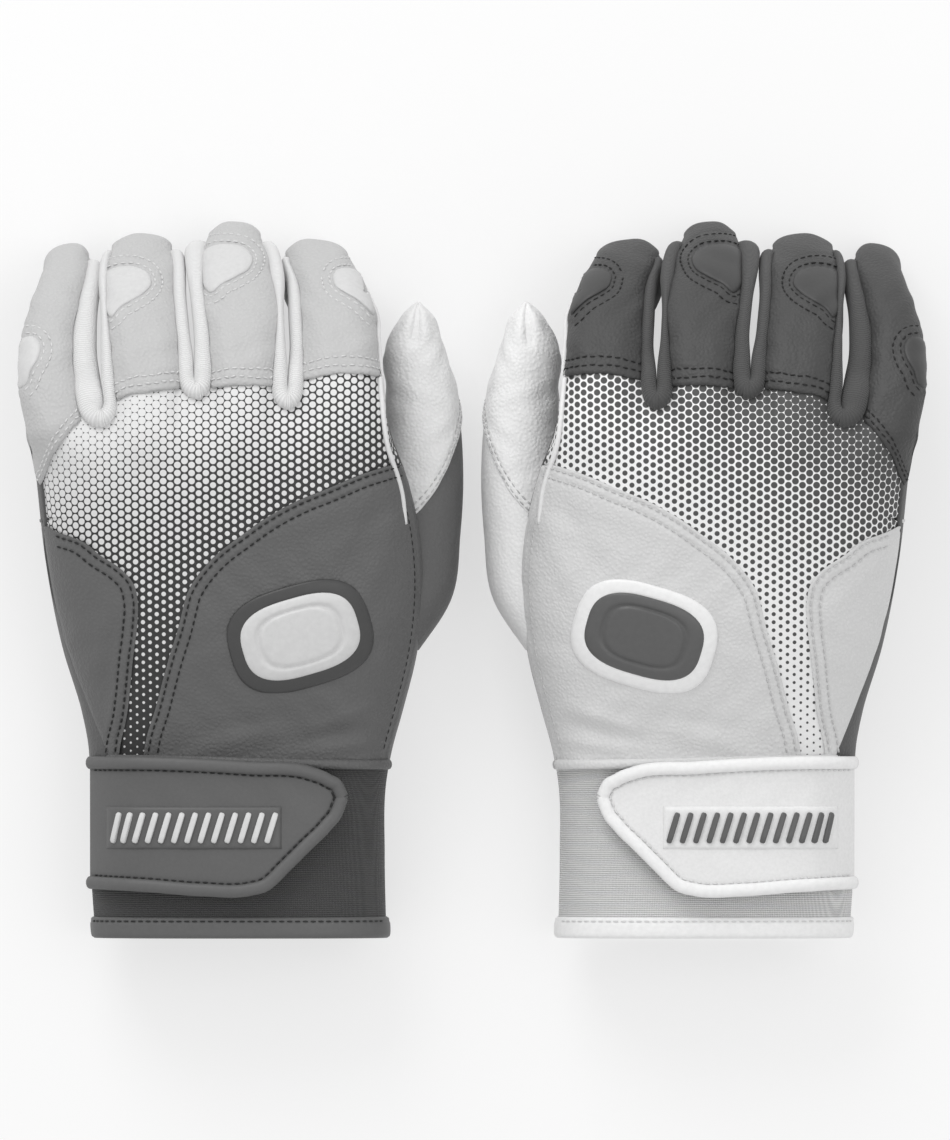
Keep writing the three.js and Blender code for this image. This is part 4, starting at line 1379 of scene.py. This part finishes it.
def node_tree(name, sizes, build):
    """A geometry node tree of some sizes and a material, whose build(node, inputs) returns the instances."""
    tree = bpy.data.node_groups.new(name, "GeometryNodeTree")
    tree.interface.new_socket("Geometry", in_out="INPUT", socket_type="NodeSocketGeometry")
    for label in sizes:
        tree.interface.new_socket(label, in_out="INPUT", socket_type="NodeSocketFloat")
    tree.interface.new_socket("Material", in_out="INPUT", socket_type="NodeSocketMaterial")
    tree.interface.new_socket("Geometry", in_out="OUTPUT", socket_type="NodeSocketGeometry")
    start = tree.nodes.new("NodeGroupInput")
    node = functools.partial(add_node, tree)
    instances = build(node, start.outputs)
    real = node("GeometryNodeRealizeInstances", None, {0: instances})
    painted = node("GeometryNodeSetMaterial", None,
                   {"Geometry": real, "Material": start.outputs["Material"]})
    node("NodeGroupOutput", None, {0: painted}, None)
    return tree


def along_line(node, inputs, shape, pivot):
    """One shape at each pitch along the lines of the mesh, turned to follow them."""
    curve = node("GeometryNodeMeshToCurve", None, {"Mesh": inputs["Geometry"]})
    points = node("GeometryNodeCurveToPoints", {"mode": "LENGTH"},
                  {"Curve": curve, "Length": inputs["Pitch"]})
    turned = node("FunctionNodeAlignRotationToVector", {"axis": "X", "pivot_axis": pivot},
                  {"Vector": points.node.outputs["Tangent"]})
    return node("GeometryNodeInstanceOnPoints", None,
                {"Points": points, "Instance": shape, "Rotation": turned})


def stitch_row(node, inputs):
    ball = node("GeometryNodeMeshUVSphere", None, {"Segments": 8, "Rings": 5, "Radius": 0.5})
    size = node("ShaderNodeCombineXYZ", None, {0: inputs["Length"], 1: inputs["Width"], 2: inputs["Width"]})
    shape = node("GeometryNodeSetShadeSmooth", None,
                 {0: node("GeometryNodeTransform", None, {"Geometry": ball, "Scale": size})})
    return along_line(node, inputs, shape, "AUTO")


def rib_row(node, inputs):
    cube = node("GeometryNodeMeshCube")
    soft = node("GeometryNodeSubdivisionSurface", None, {"Mesh": cube, "Level": 2, "Edge Crease": 0.65})
    size = node("ShaderNodeCombineXYZ", None,
                {0: inputs["Width"], 1: inputs["Length"], 2: inputs["Height"]})
    bar = node("GeometryNodeTransform", None, {"Geometry": soft, "Scale": size})
    lean = node("ShaderNodeCombineXYZ", None, {2: inputs["Lean"]})
    shape = node("GeometryNodeSetShadeSmooth", None,
                 {0: node("GeometryNodeTransform", None, {"Geometry": bar, "Rotation": lean})})
    return along_line(node, inputs, shape, "Y")


# Each tree's sizes and what builds it
TREES = {
    "Stitch row": (("Pitch", "Length", "Width"), stitch_row),
    "Rib row": (("Pitch", "Length", "Width", "Height", "Lean"), rib_row),
}


def rows_of(name, tree_name, side, lines, values):
    """One mesh with a tree's shapes along polylines of one glove."""
    points, edges = [], []
    for line in lines:
        start = len(points)
        points += world(line, side).tolist()
        edges += [(start + k, start + k + 1) for k in range(len(line) - 1)]
    base = bpy.data.meshes.new(name + "_lines")
    base.from_pydata(points, edges, [])
    obj = add_object(name, base)
    tree = bpy.data.node_groups.get(tree_name) or node_tree(tree_name, *TREES[tree_name])
    modifier = obj.modifiers.new(tree_name, "NODES")
    modifier.node_group = tree
    for item in tree.interface.items_tree:
        if item.in_out == "INPUT" and item.name in values:
            modifier[item.identifier] = values[item.name]
    bpy.context.view_layer.update()
    made = bpy.data.meshes.new_from_object(obj.evaluated_get(bpy.context.evaluated_depsgraph_get()))
    obj.modifiers.clear()
    obj.data = made
    made.name = name
    bpy.data.meshes.remove(base)
    return obj


def build_grip_ribs(side):
    """Slanted ribs along the strap's moulding."""
    x = np.linspace(-34.5, 10.5, 60)
    line = back_point(x, 32.5 + 0 * x, strap_lift(x) + 0.9)
    values = {"Pitch": 3.75 * MM, "Length": 9.2 * MM, "Width": 1.7 * MM, "Height": 1.5 * MM,
              "Lean": -0.3 if side == "left" else 0.3, "Material": finish(side, "mark")}
    obj = rows_of(f"{side}_strap_ribs", "Rib row", side, [line], values)
    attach(obj, f"{side}_strap")


def build_stitches(side):
    """Every row of stitches that the other pieces asked for, one mesh for each thread and body."""
    sizes = bpy.context.scene.glove_sizes
    for (of_side, thread, body), lines in STITCHES.items():
        if of_side != side:
            continue
        values = {"Pitch": sizes.stitch_pitch, "Length": sizes.stitch_length, "Width": sizes.stitch_width,
                  "Material": finish(side, thread)}
        label = body.replace(f"{side}_", "")
        obj = rows_of(f"{side}_{label}_{thread}", "Stitch row", side, lines, values)
        if body in FINGERS:
            finger_blend(obj, side, body)
        elif body == "thumb":
            thumb_blend(obj, side)
        else:
            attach(obj, body)


# Operators, panel and stage


class Step:
    """What every operator here shares."""

    bl_options = {"REGISTER", "UNDO"}


def for_both(*steps):
    """Runs the steps of an operator for each glove."""
    for side in SIDES:
        for step in steps:
            step(side)
    return {"FINISHED"}


class GLOVE_OT_printed_back(Step, Operator):
    """Makes the printed stretch back of each hand"""

    bl_idname = "glove.printed_back"
    bl_label = "Printed back"

    def execute(self, context):
        return for_both(build_printed_back)


class GLOVE_OT_side_panels(Step, Operator):
    """Makes the leather panels beside the print"""

    bl_idname = "glove.side_panels"
    bl_label = "Side panels"

    def execute(self, context):
        return for_both(build_side_panels)


class GLOVE_OT_palm(Step, Operator):
    """Makes the palm leather"""

    bl_idname = "glove.palm"
    bl_label = "Palm"

    def execute(self, context):
        return for_both(build_palm)


class GLOVE_OT_fingers(Step, Operator):
    """Makes the fingers' leather, stretch sides and fronts"""

    bl_idname = "glove.fingers"
    bl_label = "Fingers"

    def execute(self, context):
        return for_both(build_fingers)


class GLOVE_OT_inserts(Step, Operator):
    """Makes the smooth inserts over the finger joints"""

    bl_idname = "glove.inserts"
    bl_label = "Joint inserts"

    def execute(self, context):
        return for_both(build_inserts)


class GLOVE_OT_fourchettes(Step, Operator):
    """Makes the padded rolls between the fingers"""

    bl_idname = "glove.fourchettes"
    bl_label = "Fourchettes"

    def execute(self, context):
        return for_both(build_fourchettes)


class GLOVE_OT_thumb(Step, Operator):
    """Makes the thumb's heel and leather"""

    bl_idname = "glove.thumb"
    bl_label = "Thumb"

    def execute(self, context):
        return for_both(build_thumb)


class GLOVE_OT_cuff(Step, Operator):
    """Makes the knitted cuff and its hem"""

    bl_idname = "glove.cuff"
    bl_label = "Cuff"

    def execute(self, context):
        return for_both(build_cuff)


class GLOVE_OT_strap(Step, Operator):
    """Makes the wrist strap, its ribbed moulding and its fastener"""

    bl_idname = "glove.strap"
    bl_label = "Strap"

    def execute(self, context):
        return for_both(build_strap, build_grip_ribs)


class GLOVE_OT_badge(Step, Operator):
    """Makes the plain moulded pad on the back"""

    bl_idname = "glove.badge"
    bl_label = "Moulded pad"

    def execute(self, context):
        return for_both(build_badge)


class GLOVE_OT_piping(Step, Operator):
    """Makes the welt beside the index finger"""

    bl_idname = "glove.piping"
    bl_label = "Piping"

    def execute(self, context):
        return for_both(build_piping)


class GLOVE_OT_stitches(Step, Operator):
    """Makes every row of stitches that the other pieces asked for"""

    bl_idname = "glove.stitches"
    bl_label = "Stitching"

    def execute(self, context):
        return for_both(build_stitches)


FLOOR_HALF = 4.0
FLOOR_GLOW = 0.6  # share of plain white in the floor as it is seen
WORLD_LIGHT = 0.72
LAMPS = (("key", (-0.6, 1.5, 1.1), 1.1, 16.0), ("fill", (0.9, 0.0, 1.9), 1.2, 6.0))  # place, size and watts
CAMERA_PLACE, CAMERA_LENS = (0.0008, 0.0035, 8.0), 866.0


def floor_material():
    """A white floor that is seen a little brighter than it is lit, and that keeps the shadow."""
    material, s = empty_material("floor")
    camera, glossy, through = (s.node("ShaderNodeLightPath", out=f"Is {ray} Ray")
                               for ray in ("Camera", "Glossy", "Transmission"))
    seen = (camera + glossy + through).clamp() * FLOOR_GLOW
    lit = s.node("ShaderNodeBsdfDiffuse", None, {"Color": (0.9, 0.9, 0.9, 1)})
    glow = s.node("ShaderNodeEmission", None, {"Color": (1, 1, 1, 1), "Strength": 1.0})
    mixed = s.node("ShaderNodeMixShader", None, {0: seen, 1: lit, 2: glow})
    s.node("ShaderNodeOutputMaterial", None, {"Surface": mixed}, None)
    return material


class GLOVE_OT_stage(Step, Operator):
    """Makes the floor, the soft studio light and the camera straight above"""

    bl_idname = "glove.stage"
    bl_label = "Stage"

    def execute(self, context):
        scene = context.scene
        mesh = bpy.data.meshes.new("floor")
        corners = [(x * FLOOR_HALF, y * FLOOR_HALF, 0) for x, y in ((-1, -1), (1, -1), (1, 1), (-1, 1))]
        mesh.from_pydata(corners, [], [(0, 1, 2, 3)])
        mesh.materials.append(floor_material())
        floor = add_object("floor", mesh)
        scene.world = bpy.data.worlds.new("studio")
        scene.world.use_nodes = True
        backdrop = scene.world.node_tree.nodes["Background"]
        backdrop.inputs["Color"].default_value = (1, 1, 1, 1)
        backdrop.inputs["Strength"].default_value = WORLD_LIGHT
        for name, spot, size, energy in LAMPS:
            light = bpy.data.lights.new(name, "AREA")
            light.size, light.energy = size, energy
            lamp = add_object(name, light)
            lamp.location = spot
            lamp.rotation_euler = (-lamp.location).to_track_quat("-Z", "Y").to_euler()
        lens = bpy.data.cameras.new("camera")
        lens.sensor_width, lens.lens = 36.0, CAMERA_LENS
        scene.camera = add_object("camera", lens)
        scene.camera.location = CAMERA_PLACE
        scene.view_settings.view_transform = "Standard"
        return {"FINISHED"}


class GLOVE_PT_panel(Panel):
    """Sizes, colours and steps of the glove pair"""

    bl_label = "Batting gloves"
    bl_space_type = "VIEW_3D"
    bl_region_type = "UI"
    bl_category = "Gloves"

    def draw(self, context):
        for group in ("glove_sizes", "glove_left", "glove_right"):
            box = self.layout.box()
            values = getattr(context.scene, group)
            for key in values.__annotations__:
                box.prop(values, key)
        for kind in OPERATORS:
            self.layout.operator(kind.bl_idname)


OPERATORS = (
    GLOVE_OT_printed_back,
    GLOVE_OT_side_panels,
    GLOVE_OT_palm,
    GLOVE_OT_fingers,
    GLOVE_OT_inserts,
    GLOVE_OT_fourchettes,
    GLOVE_OT_thumb,
    GLOVE_OT_cuff,
    GLOVE_OT_strap,
    GLOVE_OT_badge,
    GLOVE_OT_piping,
    GLOVE_OT_stitches,
    GLOVE_OT_stage,
)
CLASSES = (LeftColours, RightColours, GloveSizes, *OPERATORS, GLOVE_PT_panel)
GROUPS = {"glove_left": LeftColours, "glove_right": RightColours, "glove_sizes": GloveSizes}


def register():
    for kind in CLASSES:
        bpy.utils.register_class(kind)
    for name, group in GROUPS.items():
        setattr(bpy.types.Scene, name, PointerProperty(type=group))


def unregister():
    for name in GROUPS:
        delattr(bpy.types.Scene, name)
    for kind in reversed(CLASSES):
        bpy.utils.unregister_class(kind)


def main():
    register()
    bpy.ops.glove.printed_back()
    bpy.ops.glove.side_panels()
    bpy.ops.glove.palm()
    bpy.ops.glove.fingers()
    bpy.ops.glove.inserts()
    bpy.ops.glove.fourchettes()
    bpy.ops.glove.thumb()
    bpy.ops.glove.cuff()
    bpy.ops.glove.strap()
    bpy.ops.glove.badge()
    bpy.ops.glove.piping()
    bpy.ops.glove.stitches()
    bpy.ops.glove.stage()


if __name__ == "__main__":
    main()
